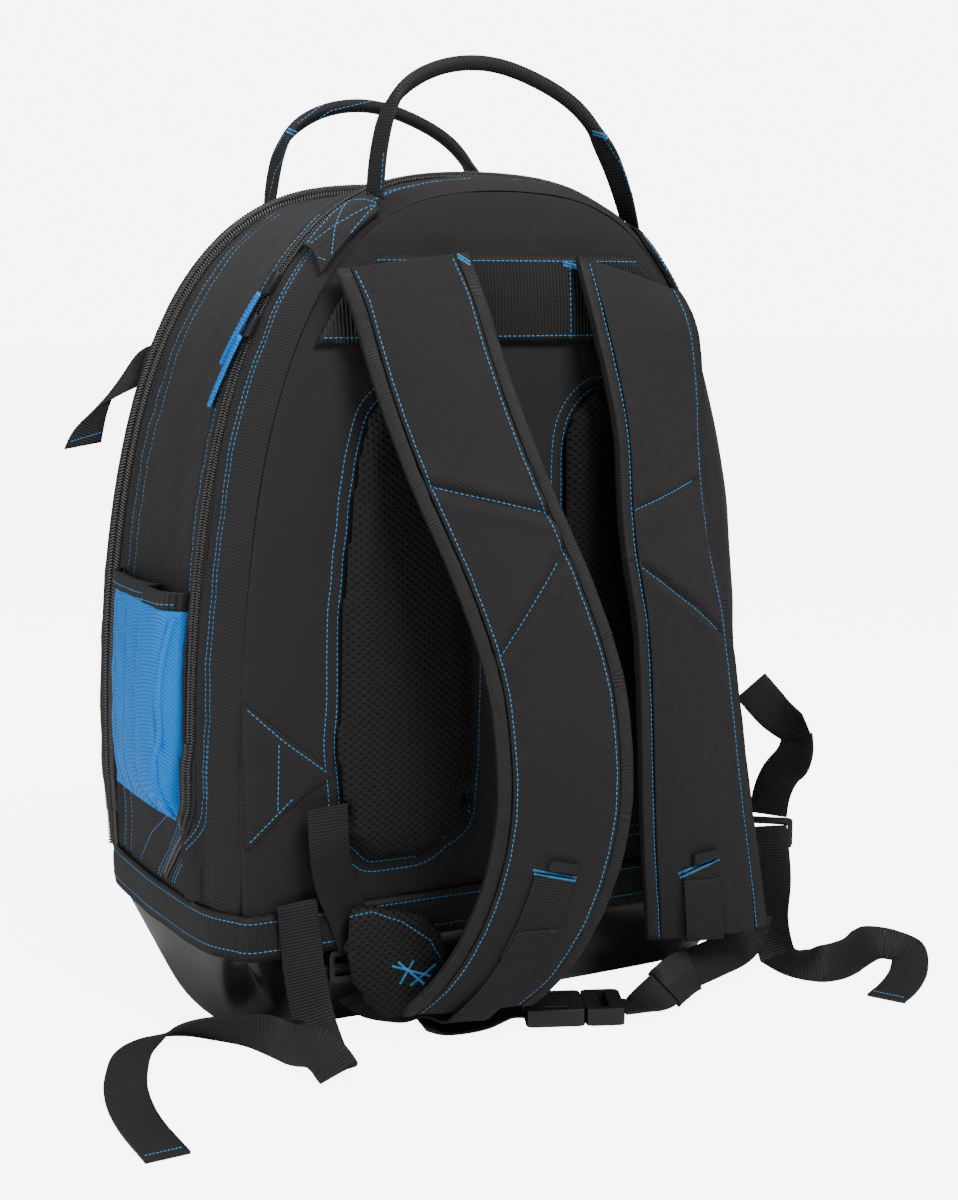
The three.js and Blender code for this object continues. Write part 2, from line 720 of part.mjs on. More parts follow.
// Hip wings of the belt: padded flaps that narrow to the webbing.
const wingWidths = [
  { share: 0, width: 0.7 },
  { share: 0.17, width: 0.9 },
  { share: 0.4, width: 0.985 },
  { share: 0.62, width: 0.93 },
  { share: 0.83, width: 0.78 },
  { share: 0.94, width: 0.62 },
  { share: 1, width: 0.48 },
];
const leftWingRows = [
  { across: -0.415, out: 0.09, up: 0.97, side: [1, 0, 0] },
  { across: -0.43, out: 0.13, up: 0.83, side: [1, 0, 0] },
  { across: -0.42, out: 0.16, up: 0.65, side: [1, 0, 0.1] },
  { across: -0.397, out: 0.19, up: 0.49, side: [1, 0, 0.2] },
  { across: -0.37, out: 0.2, up: 0.33, side: [1, 0, 0.2] },
  { across: -0.35, out: 0.2, up: 0.21, side: [1, 0, 0.2] },
];
const rightWingRows = [
  { across: 0.56, out: 0.06, up: 0.86, side: [0, 0.1, 1] },
  { across: 0.7, out: 0.12, up: 0.87, side: [0, 0.1, 1] },
  { across: 0.82, out: 0.17, up: 0.86, side: [0, 0.1, 1] },
  { across: 0.91, out: 0.2, up: 0.84, side: [0, 0.1, 1] },
];

function beltWing(rows) {
  return strip(track(byTubRows(rows), 14), {
    width: share => wingWidth * fromTable(wingWidths, 'share', 'width', share),
    thickness: share => {
      const ends = Math.min(share / 0.15, (1 - share) / 0.1);
      return wingThickness * lerp(0.4, 1, round(ends));
    },
    profile: [0.45, 0.9, 1, 1, 0.9, 0.45],
  });
}

// Waist webbing and its buckle, close to the floor.
const buckleAt = byTub({ across: 0.15, out: 0.42, up: 0.08 });
const buckleSide = V(0.36, 0.93, 0).normalize();
const buckleLine = V(0.93, -0.36, 0).normalize();
const buckleFace = buckleLine.clone().cross(buckleSide).normalize();
const buckleWidthways = buckleFace.clone().cross(buckleLine).normalize();
const alongBelt = distance => buckleAt.clone().addScaledVector(buckleLine, distance);
const buckleSplit = 0.6; // share of the buckle that is the socket half

function buckleHalf(from, to, windows) {
  return plate({
    width: buckleWidth,
    length: to - from - gap,
    thickness: buckleThickness,
    corner: 4,
    windows,
    at: alongBelt((from + to) / 2),
    side: buckleWidthways,
    face: buckleFace,
  });
}

const buckleEnd = buckleLength / 2;
const buckleSeam = lerp(-buckleEnd, buckleEnd, buckleSplit);
const buckleSocket = () =>
  buckleHalf(-buckleEnd, buckleSeam, [
    { across: buckleWidth * 0.36, along: 0, wide: buckleWidth * 0.12, long: buckleLength * 0.26 },
    { across: -buckleWidth * 0.36, along: 0, wide: buckleWidth * 0.12, long: buckleLength * 0.26 },
  ]);
const bucklePlug = () =>
  buckleHalf(buckleSeam, buckleEnd, [
    { across: 0, along: 0, wide: webWidth + 1, long: buckleLength * 0.09 },
  ]);

const leftBeltRows = [
  { across: -0.345, out: 0.2, up: 0.115, side: [0.3, 0.95, 0] },
  { across: -0.27, out: 0.2, up: 0.04, side: [0.3, 0.95, 0] },
  { across: -0.13, out: 0.22, up: 0.03, side: [0.3, 0.95, 0] },
];
const rightBeltRows = [
  { across: 0.36, out: 0.605, up: 0.09, side: [0.36, 0.9, 0.2] },
  { across: 0.44, out: 0.57, up: 0.14, side: [0.3, 0.7, 0.6] },
  { across: 0.55, out: 0.47, up: 0.22, side: [0.2, 0.5, 0.8] },
  { across: 0.68, out: 0.38, up: 0.25, side: [0.1, 0.4, 0.9] },
  { across: 0.82, out: 0.35, up: 0.34, side: [-0.1, 0.2, 0.95] },
  { across: 0.88, out: 0.29, up: 0.55, side: [-0.5, 0.1, 0.8] },
];

const beltRun = side =>
  [beltSeat, beltSeat + webWidth / 3].map(clear => ({
    at: alongBelt(side * (buckleEnd + clear)),
    side: buckleWidthways,
  }));
const leftBelt = () => track([...byTubRows(leftBeltRows), ...beltRun(-1).toReversed()], 12);
const rightBelt = () => track([...beltRun(1), ...byTubRows(rightBeltRows)], 24);

// Sleeve round a strap, along part of its track.
function keeper(places, from, to) {
  const kept = places.filter(place => place.share >= from && place.share <= to);
  const skin = clear =>
    kept.map(place =>
      [[-1, -1], [1, -1], [1, 1], [-1, 1]].map(([across, out]) =>
        beside(place, across * (webWidth / 2 + clear), out * (webThickness / 2 + clear)),
      ),
    );
  return between(skin(gap + keeperWall), skin(gap), true);
}

// Carry handles: flat legs that roll into a round grip.
const handleRows = [
  { across: -1, up: 0 },
  { across: -0.977, up: 0.27 },
  { across: -0.86, up: 0.67 },
  { across: -0.58, up: 0.9 },
  { across: -0.17, up: 1 },
  { across: 0.244, up: 0.927 },
  { across: 0.593, up: 0.756 },
  { across: 0.814, up: 0.476 },
  { across: 0.953, up: 0.16 },
  { across: 1, up: 0 },
];
const footSeat = 1.4; // under the handle's legs
const handleRing = 8;
const handleSteps = 22;

const legFoot = (y, x) => bagPoint(y, turnAtX(y, x));

function handle(y) {
  const level = share => lerp(legFoot(y, footX(-1)).z, legFoot(y, footX(1)).z, (share + 1) / 2);
  const route = handleRows.map(({ across, up }) => {
    const x = footX(across);
    const slope = legFoot(y + 1, x).sub(legFoot(y - 1, x)).normalize();
    const flat = smoothstep(up, 0, 0.3);
    return {
      at: V(x, y, level(across) + footSeat + up * handleRise),
      side: slope.lerp(V(0, 1, 0), flat),
    };
  });
  const rings = track(route, handleSteps, false).map(place => {
    const rolled = smoothstep(Math.min(place.share, 1 - place.share), 0.18, 0.25);
    return steps(handleRing - 1, 0, (handleRing - 1) / handleRing).map(turn => {
      const angle = 2 * Math.PI * turn + Math.PI / handleRing;
      const [c, s] = [Math.cos(angle), Math.sin(angle)];
      const square = 1 / Math.max(Math.abs(c), Math.abs(s));
      const across = lerp((square * c * webWidth) / 2, (c * handleRoll) / 2, rolled);
      const out = lerp((square * s * webThickness * 1.4) / 2, (s * handleRoll) / 2, rolled);
      return beside(place, across, out);
    });
  });
  return loft(rings);
}

const footX = across => handleShift + (across * handleSpan) / 2;

// Cloth patch on the bag just outside each handle leg.
function handlePatch(side, from, to) {
  const start = footX(side) + side * (webThickness + 2 * gap);
  const rows = steps(4, start, start + side * patchLength);
  const places = rows.map(x => steps(4, from, to).map(y => ({ y, turn: turnAtX(y, x) })));
  return onBag(places, padSeat, padSeat + clothWall);
}

// Side pocket: two open-topped compartments on the left gusset, sewn down at sides and foot.
const pocketSplit = 0.64; // share of the pocket's depth that the front compartment takes
const pocketColumns = 8;
const pocketRear = sideStart + pocketEdgeInset;
const pocketFront = frontZipStart - pocketEdgeInset;
const pocketSeam = lerp(pocketFront, pocketRear, pocketSplit);

function pocketPlaces(from, to, bulge, low, high, rows) {
  const start = Math.min(from, to) + gap;
  const end = Math.max(from, to) - gap;
  return steps(rows, low, high).map(up =>
    steps(pocketColumns, start, end).map((y, column) => {
      const across = round(Math.min(column, pocketColumns - column) / 2);
      const rise = round(up / 0.3);
      const z = pocketFoot + up * pocketHeight;
      return { y, turn: turnAtHeight(y, z, -1), bulge: bulge * across * rise };
    }),
  );
}

function pocketBinding(from, to, bulge) {
  const share = pocketBindingHeight / pocketHeight;
  const places = pocketPlaces(from, to, bulge, 1 + gap / pocketHeight, 1 + share, 1);
  return onBag(places, 2 * gap, 2 * gap + pocketWall + 1);
}

const pocket = (from, to, bulge) =>
  onBag(pocketPlaces(from, to, bulge, 0, 1, 8), 2 * gap, 2 * gap + pocketWall);

// Rear zip's sliders and cloth pullers, at shares of the bag's height.
const pullerShares = { upper: 0.85, lower: 0.794 };

const zipHeight = share => rimHeight + share * bagHeight;
const zipMiddle = (rearZipStart + sideStart) / 2;

function zipSlider(share) {
  const y = zipMiddle;
  const turn = turnAtHeight(y, zipHeight(share), -1);
  const side = bagPoint(y + 1, turn).sub(bagPoint(y - 1, turn)).normalize();
  const face = bagNormal(y, turn);
  return plate({
    width: rearZipWidth,
    length: sliderLength,
    thickness: sliderThickness,
    corner: 2,
    windows: [],
    at: bagOffset(y, turn, zipProud + 2 * gap + sliderThickness / 2),
    side: face.clone().cross(side).cross(face),
    face,
  });
}

function puller(heightShare) {
  const top = zipHeight(heightShare) - sliderLength / 2;
  const rows = steps(4).map(share => {
    const y = zipMiddle + share * pullerLength * 0.35;
    const turn = turnAtHeight(y, top - share * pullerLength * 0.85, -1);
    return { at: bagOffset(y, turn, lerp(pullerLift, pullerEndLift, share)), side: V(0.3, 0.9, 0.2) };
  });
  return strip(track(rows, 8), {
    width: pullerWidth,
    thickness: pullerThickness,
    profile: [0.6, 1, 0.6],
  });
}

// Loose strap end on the far side: its rows are shares of its reach, from its sewn root.
const compressionReach = 56;
const compressionRows = [
  { out: 0.2, down: 0.05, side: [0.15, 0.3, 0.93] },
  { out: 0.57, down: 0.3, side: [0.55, 0.1, 0.8] },
  { out: 0.87, down: 0.68, side: [0.9, 0, 0.45] },
  { out: 0.98, down: 0.98, side: [0.99, 0, 0.15] },
];
const compressionShare = 0.738; // of the bag's height, at its root
function compressionStrap() {
  const y = frontStart + 12;
  const turn = turnAtHeight(y, rimHeight + compressionShare * bagHeight, -1);
  const root = bagOffset(y, turn, padSeat + gap);
  const along = bagPoint(y, turn + 0.01).sub(bagPoint(y, turn - 0.01));
  const rows = compressionRows.map(({ out, down, side }) => ({
    at: root.clone().add(V(-out, 0, -down).multiplyScalar(compressionReach)),
    side: V(...side),
  }));
  return web(track([{ at: root, side: along.normalize() }, ...rows], 12, false));
}

const group = new THREE.Group();

function add(name, geometry, color, roughness = 0.85) {
  geometry.computeVertexNormals();
  const mesh = new THREE.Mesh(geometry, new THREE.MeshStandardMaterial({ color, roughness }));
  mesh.name = name;
  group.add(mesh);
}

add('base_tub', tub(), black, 0.35);
add('rim_band', rimBand(), webbingBlack);
add('back_panel', backPanel(), charcoal);
add('rear_gusset', bagShell(backSeam + gap, rearZipStart - gap, 4), charcoal);
add('rear_zip', bagShell(rearZipStart, sideStart, 1, zipProud, zipWall), black);
add('side_gusset', bagShell(sideStart + gap, frontZipStart - gap, 5), charcoal);
add('front_zip', bagShell(frontZipStart, frontStart, 2, zipProud, zipWall), black);
add('front_panel', frontPanel(), charcoal);
add('mesh_pad_left', meshPad(-1), black);
add('mesh_pad_right', meshPad(1), black);
add('haul_web', haulWeb(), webbingBlack);

for (const [name, route, load] of [
  ['left', leftStrapRoute, leftLoad],
  ['right', rightStrapRoute, rightLoad],
]) {
  const places = strapTrack(route);
  add(`shoulder_strap_${name}`, shoulderStrap(places), charcoal);
  add(`strap_binding_${name}_a`, strapBinding(places, -1), webbingBlack);
  add(`strap_binding_${name}_b`, strapBinding(places, 1), webbingBlack);
  add(`load_web_${name}`, loadWeb(places, load), webbingBlack);
}

add('anchor_tab_left', anchorTab(-1), charcoal);
add('anchor_tab_right', anchorTab(1), charcoal);
add('anchor_web_left', web(track(byTubRows(leftAnchorRows), 20)), webbingBlack);
add('anchor_web_right', web(track(byTubRows(rightAnchorRows), 24)), webbingBlack);
add('ladder_lock_left', ladderLock(leftLock), black, 0.5);
add('ladder_lock_right', ladderLock(rightLock), black, 0.5);
add('tail_left', tail(leftTailHang, leftTailFloor), webbingBlack);
add('tail_right', tail(rightTailHang, rightTailFloor), webbingBlack);
add('belt_wing_left', beltWing(leftWingRows), charcoal);
add('belt_wing_right', beltWing(rightWingRows), charcoal);
add('belt_web_left', web(leftBelt()), webbingBlack);
add('belt_web_right', web(rightBelt()), webbingBlack);
add('belt_keeper', keeper(rightBelt(), 0.24, 0.46), webbingBlack);
add('buckle_female', buckleSocket(), black, 0.5);
add('buckle_male', bucklePlug(), black, 0.5);

add('rear_handle', handle(rearHandleY), webbingBlack);
add('front_handle', handle(frontHandleY), webbingBlack);
const rearPatch = [backSeam + 3, rearZipStart - 2];
const frontPatch = [frontStart + 1, shoulderEnd - 9];
add('handle_patch_rear_left', handlePatch(-1, ...rearPatch), charcoal);
add('handle_patch_rear_right', handlePatch(1, ...rearPatch), charcoal);
add('handle_patch_front_left', handlePatch(-1, ...frontPatch), charcoal);
add('handle_patch_front_right', handlePatch(1, ...frontPatch), charcoal);

add('pocket_front', pocket(pocketFront, pocketSeam, pocketBulgeFront), blue);
add('pocket_rear', pocket(pocketSeam, pocketRear, pocketBulgeRear), blue);
add('pocket_binding_front', pocketBinding(pocketFront, pocketSeam, pocketBulgeFront), webbingBlack);
add('pocket_binding_rear', pocketBinding(pocketSeam, pocketRear, pocketBulgeRear), webbingBlack);

for (const [name, share] of Object.entries(pullerShares)) {
  add(`zip_slider_${name}`, zipSlider(share), black, 0.4);
  add(`puller_${name}`, puller(share), blue);
}
add('compression_strap', compressionStrap(), webbingBlack);

export default group;
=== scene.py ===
# %% [markdown]
# # A tool backpack around its solid frame
# The real object is a cloth bag on a moulded tub: padded back, two shoulder straps with bound
# edges, a waist belt, webbing, long zips and a light blue stitch along almost every seam. The
# solids give every size and place. Each cell below dresses one group of pieces, and most start
# from a merged copy of the solid they replace, so nothing has to be fitted by eye.

import math

import bmesh
import bpy
import numpy as np
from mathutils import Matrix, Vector
from mathutils.bvhtree import BVHTree


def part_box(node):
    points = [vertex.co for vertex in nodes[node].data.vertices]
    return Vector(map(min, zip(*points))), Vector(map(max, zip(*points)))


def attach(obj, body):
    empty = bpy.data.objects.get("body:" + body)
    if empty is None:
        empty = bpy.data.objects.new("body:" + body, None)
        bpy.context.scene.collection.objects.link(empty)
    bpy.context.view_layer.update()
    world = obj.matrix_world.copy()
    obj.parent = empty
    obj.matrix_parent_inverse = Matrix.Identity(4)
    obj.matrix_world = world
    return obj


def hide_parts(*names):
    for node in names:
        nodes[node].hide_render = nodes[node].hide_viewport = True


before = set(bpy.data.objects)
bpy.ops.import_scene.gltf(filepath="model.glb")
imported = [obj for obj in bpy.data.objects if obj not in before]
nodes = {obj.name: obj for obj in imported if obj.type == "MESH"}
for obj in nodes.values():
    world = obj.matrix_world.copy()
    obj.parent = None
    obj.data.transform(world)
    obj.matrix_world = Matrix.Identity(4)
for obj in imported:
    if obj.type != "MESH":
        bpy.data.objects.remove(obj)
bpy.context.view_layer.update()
MM = 0.001

# %% [markdown]
# ## Camera
# The photo was taken from a little above the middle of the bag, turned to its left side. The lens
# is fairly long, so the uprights stay almost parallel. The camera comes first, because every
# later choice is judged through it.

# %% Camera
CAMERA_AT = (-0.5166, -1.1282, 0.450)
CAMERA_TURN = math.radians(25.9)
CAMERA_PITCH = math.radians(9.28)
PHOTO_WIDTH, PHOTO_HEIGHT = 958, 1200
FOCAL_PIXELS = 1897
SENSOR = 36

bpy.ops.object.camera_add(
    location=CAMERA_AT, rotation=(math.pi / 2 - CAMERA_PITCH, 0, -CAMERA_TURN)
)
camera = bpy.context.object
camera.data.sensor_width = SENSOR
camera.data.lens = SENSOR * FOCAL_PIXELS / PHOTO_HEIGHT
bpy.context.scene.camera = camera
print("camera lens:", round(camera.data.lens, 1), "mm")

# %% [markdown]
# ## Studio
# A product photo of a black bag needs large soft lights: a broad one from the left gives the
# sheen on the straps and the long reflection in the tub, and a pale room keeps the shadows open.
# The floor and the dome are seen by the camera alone. A second plane just below the floor sends
# light back up, and a card on the left is seen in the tub only.

# %% Floor, room and lights
FLOOR_SIZE = 30
DOME_RADIUS = 16
BAG_MIDDLE = (0, 0, 0.26)
# Each light: where it stands, its diameter in metres and its power in watts.
LIGHTS = {
    "light_left": ((-2.2, -0.3, 0.75), 1.8, 14),
    "light_front": ((0.35, -1.3, 1.75), 0.9, 42),
    "light_top": ((-0.2, 0.6, 2.4), 1.6, 24),
}
BOUNCE_DROP = 2 * MM
CARD_AT, CARD_SIZE = (-2.3, -0.2, 0.6), 2.4
WORLD_STRENGTH = 0.16


def area_light(name, at, size, power):
    bpy.ops.object.light_add(type="AREA", location=at)
    light = bpy.context.object
    light.name = name
    light.data.shape = "DISK"
    light.data.size = size
    light.data.energy = power
    aim = Vector(BAG_MIDDLE) - Vector(at)
    light.rotation_euler = aim.to_track_quat("-Z", "Y").to_euler()


for name, light in LIGHTS.items():
    area_light(name, *light)

bpy.ops.mesh.primitive_plane_add(size=FLOOR_SIZE, location=(0, 0, 0))
floor = bpy.context.object
floor.name = "floor"
bpy.ops.mesh.primitive_plane_add(size=FLOOR_SIZE, location=(0, 0, -BOUNCE_DROP))
bounce = bpy.context.object
bounce.name = "bounce"
bounce.visible_camera = False

bpy.ops.mesh.primitive_uv_sphere_add(segments=48, ring_count=24, radius=DOME_RADIUS)
dome = bpy.context.object
dome.name = "dome"
bpy.ops.object.shade_smooth()
for ray in ("diffuse", "glossy", "transmission", "shadow", "volume_scatter"):
    setattr(dome, f"visible_{ray}", False)
    setattr(floor, f"visible_{ray}", False)
bpy.ops.mesh.primitive_plane_add(size=CARD_SIZE, location=CARD_AT, rotation=(0, math.pi / 2, 0))
card = bpy.context.object
card.name = "card"
card.visible_camera = card.visible_diffuse = card.visible_shadow = False

world = bpy.data.worlds.new("room")
bpy.context.scene.world = world
world.use_nodes = True
background = world.node_tree.nodes["Background"]
background.inputs["Color"].default_value = (1, 1, 1, 1)
background.inputs["Strength"].default_value = WORLD_STRENGTH

# %% [markdown]
# ## Writing shader maths as sums
# A weave is a formula of the place on the cloth. Wrapping a socket in a small class lets the
# formula be written as Python, and every sign adds its own Math node.


# %% Shader helpers
class Value:
    """A shader socket that can be used in sums."""

    def __init__(self, finish, socket):
        self.finish = finish
        self.socket = socket

    def maths(self, operation, *others):
        return self.finish.maths(operation, self, *others)

    def __add__(self, other):
        return self.maths("ADD", other)

    def __sub__(self, other):
        return self.maths("SUBTRACT", other)

    def __mul__(self, other):
        return self.maths("MULTIPLY", other)

    def __rsub__(self, other):
        return self.finish.maths("SUBTRACT", other, self)

    __radd__ = __add__
    __rmul__ = __mul__


class Finish:
    """A material that is built node by node around its Principled shader."""

    def __init__(self, name, color, roughness, **constants):
        self.material = bpy.data.materials.new(name)
        self.material.use_nodes = True
        self.tree = self.material.node_tree
        self.shader = self.tree.nodes["Principled BSDF"]
        self.color = color
        self.set_shader({"Base Color": (*color, 1), "Roughness": roughness, **constants})

    def set_shader(self, values):
        for name, value in values.items():
            self.feed(self.shader.inputs[name.replace("_", " ")], value)

    def feed(self, socket, value):
        if isinstance(value, Value):
            self.tree.links.new(value.socket, socket)
        else:
            socket.default_value = value

    def add(self, kind, settings=None, values=None, output=0):
        node = self.tree.nodes.new(kind)
        for name, setting in (settings or {}).items():
            setattr(node, name, setting)
        for name, value in (values or {}).items():
            self.feed(node.inputs[name], value)
        return Value(self, node.outputs[output])

    def maths(self, operation, *values):
        return self.add("ShaderNodeMath", {"operation": operation}, dict(enumerate(values)))

    def place(self):
        """Object coordinates, as three values in metres."""
        point = self.add("ShaderNodeTexCoord", output="Object")
        return [self.add("ShaderNodeSeparateXYZ", None, {0: point}, axis) for axis in "XYZ"]

    def cloth_place(self):
        """The piece's own UV map, as metres along and across it."""
        point = self.add("ShaderNodeUVMap", {"uv_map": "cloth"})
        return [self.add("ShaderNodeSeparateXYZ", None, {0: point}, axis) for axis in "XY"]

    def wave(self, run, pitch):
        """A wave from 0 to 1 that repeats every pitch metres of run."""
        return (run * (2 * math.pi / pitch)).maths("SINE") * 0.5 + 0.5

    def noise(self, scale, detail):
        point = self.add("ShaderNodeTexCoord", output="Object")
        values = {"Vector": point, "Scale": scale, "Detail": detail}
        return self.add("ShaderNodeTexNoise", None, values)

    def blend(self, mask, low, high):
        """A colour between two colours."""
        values = {0: mask, 6: (*low, 1), 7: (*high, 1)}
        return self.add("ShaderNodeMix", {"data_type": "RGBA"}, values, 2)

    def bump(self, height, distance):
        values = {"Height": height, "Distance": distance}
        self.set_shader({"Normal": self.add("ShaderNodeBump", None, values)})


def scaled(color, factor):
    return tuple(channel * factor for channel in color)


# %% [markdown]
# ## Cloth, webbing, mesh and plastic
# The bag is a coarse polyester twill: fine diagonal ridges, matt, a little lighter where it is
# worn. A sum of x, y and z rises at a slant on every side of the bag, so one formula gives the
# diagonal on the back, the sides and the top alike. Webbing and bindings carry their ribs along
# their own length, so they read the pieces' UV maps instead.

# %% Cloth materials
TWILL_PITCH = 1.7 * MM
TWILL_SLANT = 0.4  # share of y in the weave: at 1 the ridges flicker on the sides
CHARCOAL = (0.0205, 0.0185, 0.0195)
WEB_BLACK = (0.0130, 0.0127, 0.0127)
SKY = (0.0, 0.25, 0.84)
THREAD_BLUE = (0.04, 0.30, 0.64)
PLASTIC_RELIEF = 0.05 * MM


def twill(name, color, roughness=0.78, relief=0.22 * MM, contrast=0.34):
    finish = Finish(name, color, roughness, Sheen_Weight=0.04, Specular_IOR_Level=0.2)
    x, y, z = finish.place()
    ridges = finish.wave(x + y * TWILL_SLANT + z, TWILL_PITCH * math.sqrt(2))
    yarn = finish.wave(x + y * TWILL_SLANT - z, TWILL_PITCH * math.sqrt(2) * 0.6)
    patch = finish.noise(14, 4)
    weave = ridges * 0.75 + yarn * 0.25
    tone = weave * (1 - contrast) + patch * contrast
    finish.set_shader(
        {
            "Base Color": finish.blend(tone, scaled(color, 0.62), scaled(color, 1.42)),
            "Roughness": roughness - 0.08 + patch * 0.16,
        }
    )
    finish.bump(weave, relief)
    return finish.material


def ribbed(name, color, pitch, relief=0.3 * MM):
    finish = Finish(name, color, 0.62, Specular_IOR_Level=0.25)
    run, across = finish.cloth_place()
    rib = finish.wave(run, pitch)
    strand = finish.wave(across, pitch * 1.3)
    weave = rib * 0.8 + rib * strand * 0.2
    patch = finish.noise(30, 3)
    tone = weave * 0.7 + patch * 0.3
    finish.set_shader(
        {"Base Color": finish.blend(tone, scaled(color, 0.45), scaled(color, 1.9))}
    )
    finish.bump(weave, relief)
    return finish.material


def spacer_mesh(name, color, across_pitch, up_pitch):
    finish = Finish(name, color, 0.7, Specular_IOR_Level=0.2)
    x, _, z = finish.place()
    columns = finish.wave(x, across_pitch) * 2 - 1
    rows = finish.wave(z, up_pitch) * 2 - 1
    # Painted shade: the open holes of the mesh are painted almost black, for the shade inside
    # them; the bump gives their relief.
    hole = (columns * rows).maths("SMOOTH_MAX", 0.0, 0.2)
    finish.set_shader(
        {"Base Color": finish.blend(hole, scaled(color, 1.7), scaled(color, 0.12))}
    )
    finish.bump(1 - hole, 0.5 * MM)
    return finish.material


def plastic(name, color, roughness, grain):
    finish = Finish(name, color, roughness)
    patch = finish.noise(grain, 3)
    finish.set_shader({"Roughness": roughness - 0.06 + patch * 0.12})
    finish.bump(patch, PLASTIC_RELIEF)
    return finish.material


def thread(name, color):
    finish = Finish(name, color, 0.5)
    patch = finish.noise(900, 1)
    finish.set_shader(
        {"Base Color": finish.blend(patch, scaled(color, 0.7), scaled(color, 1.3))}
    )
    return finish.material


charcoal_twill = twill("charcoal_twill", CHARCOAL)
blue_twill = twill("blue_twill", SKY, 0.6, 0.25 * MM, 0.3)
black_webbing = ribbed("black_webbing", WEB_BLACK, 1.9 * MM)
black_binding = ribbed("black_binding", (0.0165, 0.0158, 0.0155), 1.3 * MM, 0.2 * MM)
haul_ribs = ribbed("haul_ribs", WEB_BLACK, 2.2 * MM, 0.5 * MM)
zip_tape = ribbed("zip_tape", WEB_BLACK, 1.2 * MM, 0.15 * MM)
air_mesh = spacer_mesh("air_mesh", (0.0075, 0.007, 0.0075), 5.6 * MM, 4.6 * MM)
tub_plastic = plastic("tub_plastic", (0.011, 0.011, 0.0125), 0.24, 60)
buckle_plastic = plastic("buckle_plastic", (0.010, 0.010, 0.011), 0.42, 200)
zip_nylon = plastic("zip_nylon", (0.026, 0.025, 0.024), 0.24, 400)
blue_thread = thread("blue_thread", THREAD_BLUE)
sky_thread = thread("sky_thread", (0.0, 0.15, 0.5))
bounce.data.materials.append(Finish("pale_bounce", (0.8, 0.8, 0.8), 0.8).material)
# Each glowing surface: its material's name, colour, roughness and the strength of its glow.
for piece, name, color, roughness, glow in (
    (floor, "pale_floor", (0.9, 0.9, 0.9), 0.8, 6.4),
    (dome, "pale_room", (0.0, 0.0, 0.0), 1, 7.0),
    (card, "pale_card", (0.0, 0.0, 0.0), 1, 3.0),
):
    finish = Finish(name, color, roughness, Emission_Strength=glow, Emission_Color=(1, 1, 1, 1))
    piece.data.materials.append(finish.material)
print("materials:", len(bpy.data.materials))

# %% [markdown]
# ## Starting a soft piece from its solid
# A CAD solid arrives as loose triangles. A merged copy with quads, its sharp rims creased and a
# Subdivision Surface on top, keeps the place and the rims of the solid but gets the smooth run of
# cloth. That is quicker and surer than modelling the arch of the bag again.


# %% Copies, modifiers and finishing
def select_only(piece):
    bpy.ops.object.select_all(action="DESELECT")
    piece.select_set(True)
    bpy.context.view_layer.objects.active = piece


def merged_copy(node):
    """A welded copy of a solid, in quads, ready to be shaped."""
    mesh = nodes[node].data.copy()
    mesh.materials.clear()
    piece = bpy.data.objects.new(f"{node}_dressed", mesh)
    bpy.context.scene.collection.objects.link(piece)
    select_only(piece)
    bpy.ops.object.mode_set(mode="EDIT")
    bpy.ops.mesh.select_all(action="SELECT")
    bpy.ops.mesh.remove_doubles(threshold=1e-5)
    bpy.ops.mesh.tris_convert_to_quads(face_threshold=math.pi, shape_threshold=math.pi)
    bpy.ops.object.mode_set(mode="OBJECT")
    return piece


def modify(piece, kind, **settings):
    """Adds a modifier and applies it."""
    select_only(piece)
    modifier = piece.modifiers.new(kind.title(), kind)
    for name, value in settings.items():
        setattr(modifier, name, value)
    bpy.ops.object.modifier_apply(modifier=modifier.name)


def subdivide(piece, levels):
    modify(piece, "SUBSURF", levels=levels, render_levels=levels)


def crease_rims(piece, angle):
    """Keeps every edge that is sharper than angle where it is when the mesh is subdivided."""
    select_only(piece)
    bpy.ops.object.mode_set(mode="EDIT")
    bpy.ops.mesh.select_mode(type="EDGE")
    bpy.ops.mesh.select_all(action="DESELECT")
    bpy.ops.mesh.edges_select_sharp(sharpness=math.radians(angle))
    bpy.ops.transform.edge_crease(value=1)
    bpy.ops.object.mode_set(mode="OBJECT")


def smooth_copy(node, angle, levels):
    """A subdivided copy of a solid that keeps the rims sharper than angle."""
    piece = merged_copy(node)
    crease_rims(piece, angle)
    subdivide(piece, levels)
    return piece


def points_of(piece):
    points = np.empty(len(piece.data.vertices) * 3)
    piece.data.vertices.foreach_get("co", points)
    return points.reshape(-1, 3)


def normals_of(piece):
    normals = np.empty(len(piece.data.vertices) * 3)
    piece.data.vertices.foreach_get("normal", normals)
    return normals.reshape(-1, 3)


def move_points(piece, points):
    piece.data.vertices.foreach_set("co", np.ascontiguousarray(points).ravel())
    piece.data.update()


def push_out(piece, height):
    """Moves every point along its normal by its own height."""
    move_points(piece, points_of(piece) + normals_of(piece) * np.asarray(height)[:, None])


def dress(piece, material, slot, *replaced, smooth=40):
    """The finished piece gets its material, rides on the bag and takes its solids' place."""
    piece.data.materials.append(material)
    select_only(piece)
    bpy.ops.object.shade_smooth_by_angle(angle=math.radians(smooth))
    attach(piece, "root")
    if replaced:
        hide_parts(*replaced)
    return piece


def columns(*values):
    """Points from their x, y and z, where each is an array or one number."""
    return np.stack(np.broadcast_arrays(*values), axis=-1)


def smooth_step(value, low, high):
    share = np.clip((value - low) / (high - low), 0, 1)
    return share * share * (3 - 2 * share)


def ridge(value, centre, width):
    """A bell-shaped rise of height 1 around centre."""
    return np.exp(-(((value - centre) / width) ** 2))


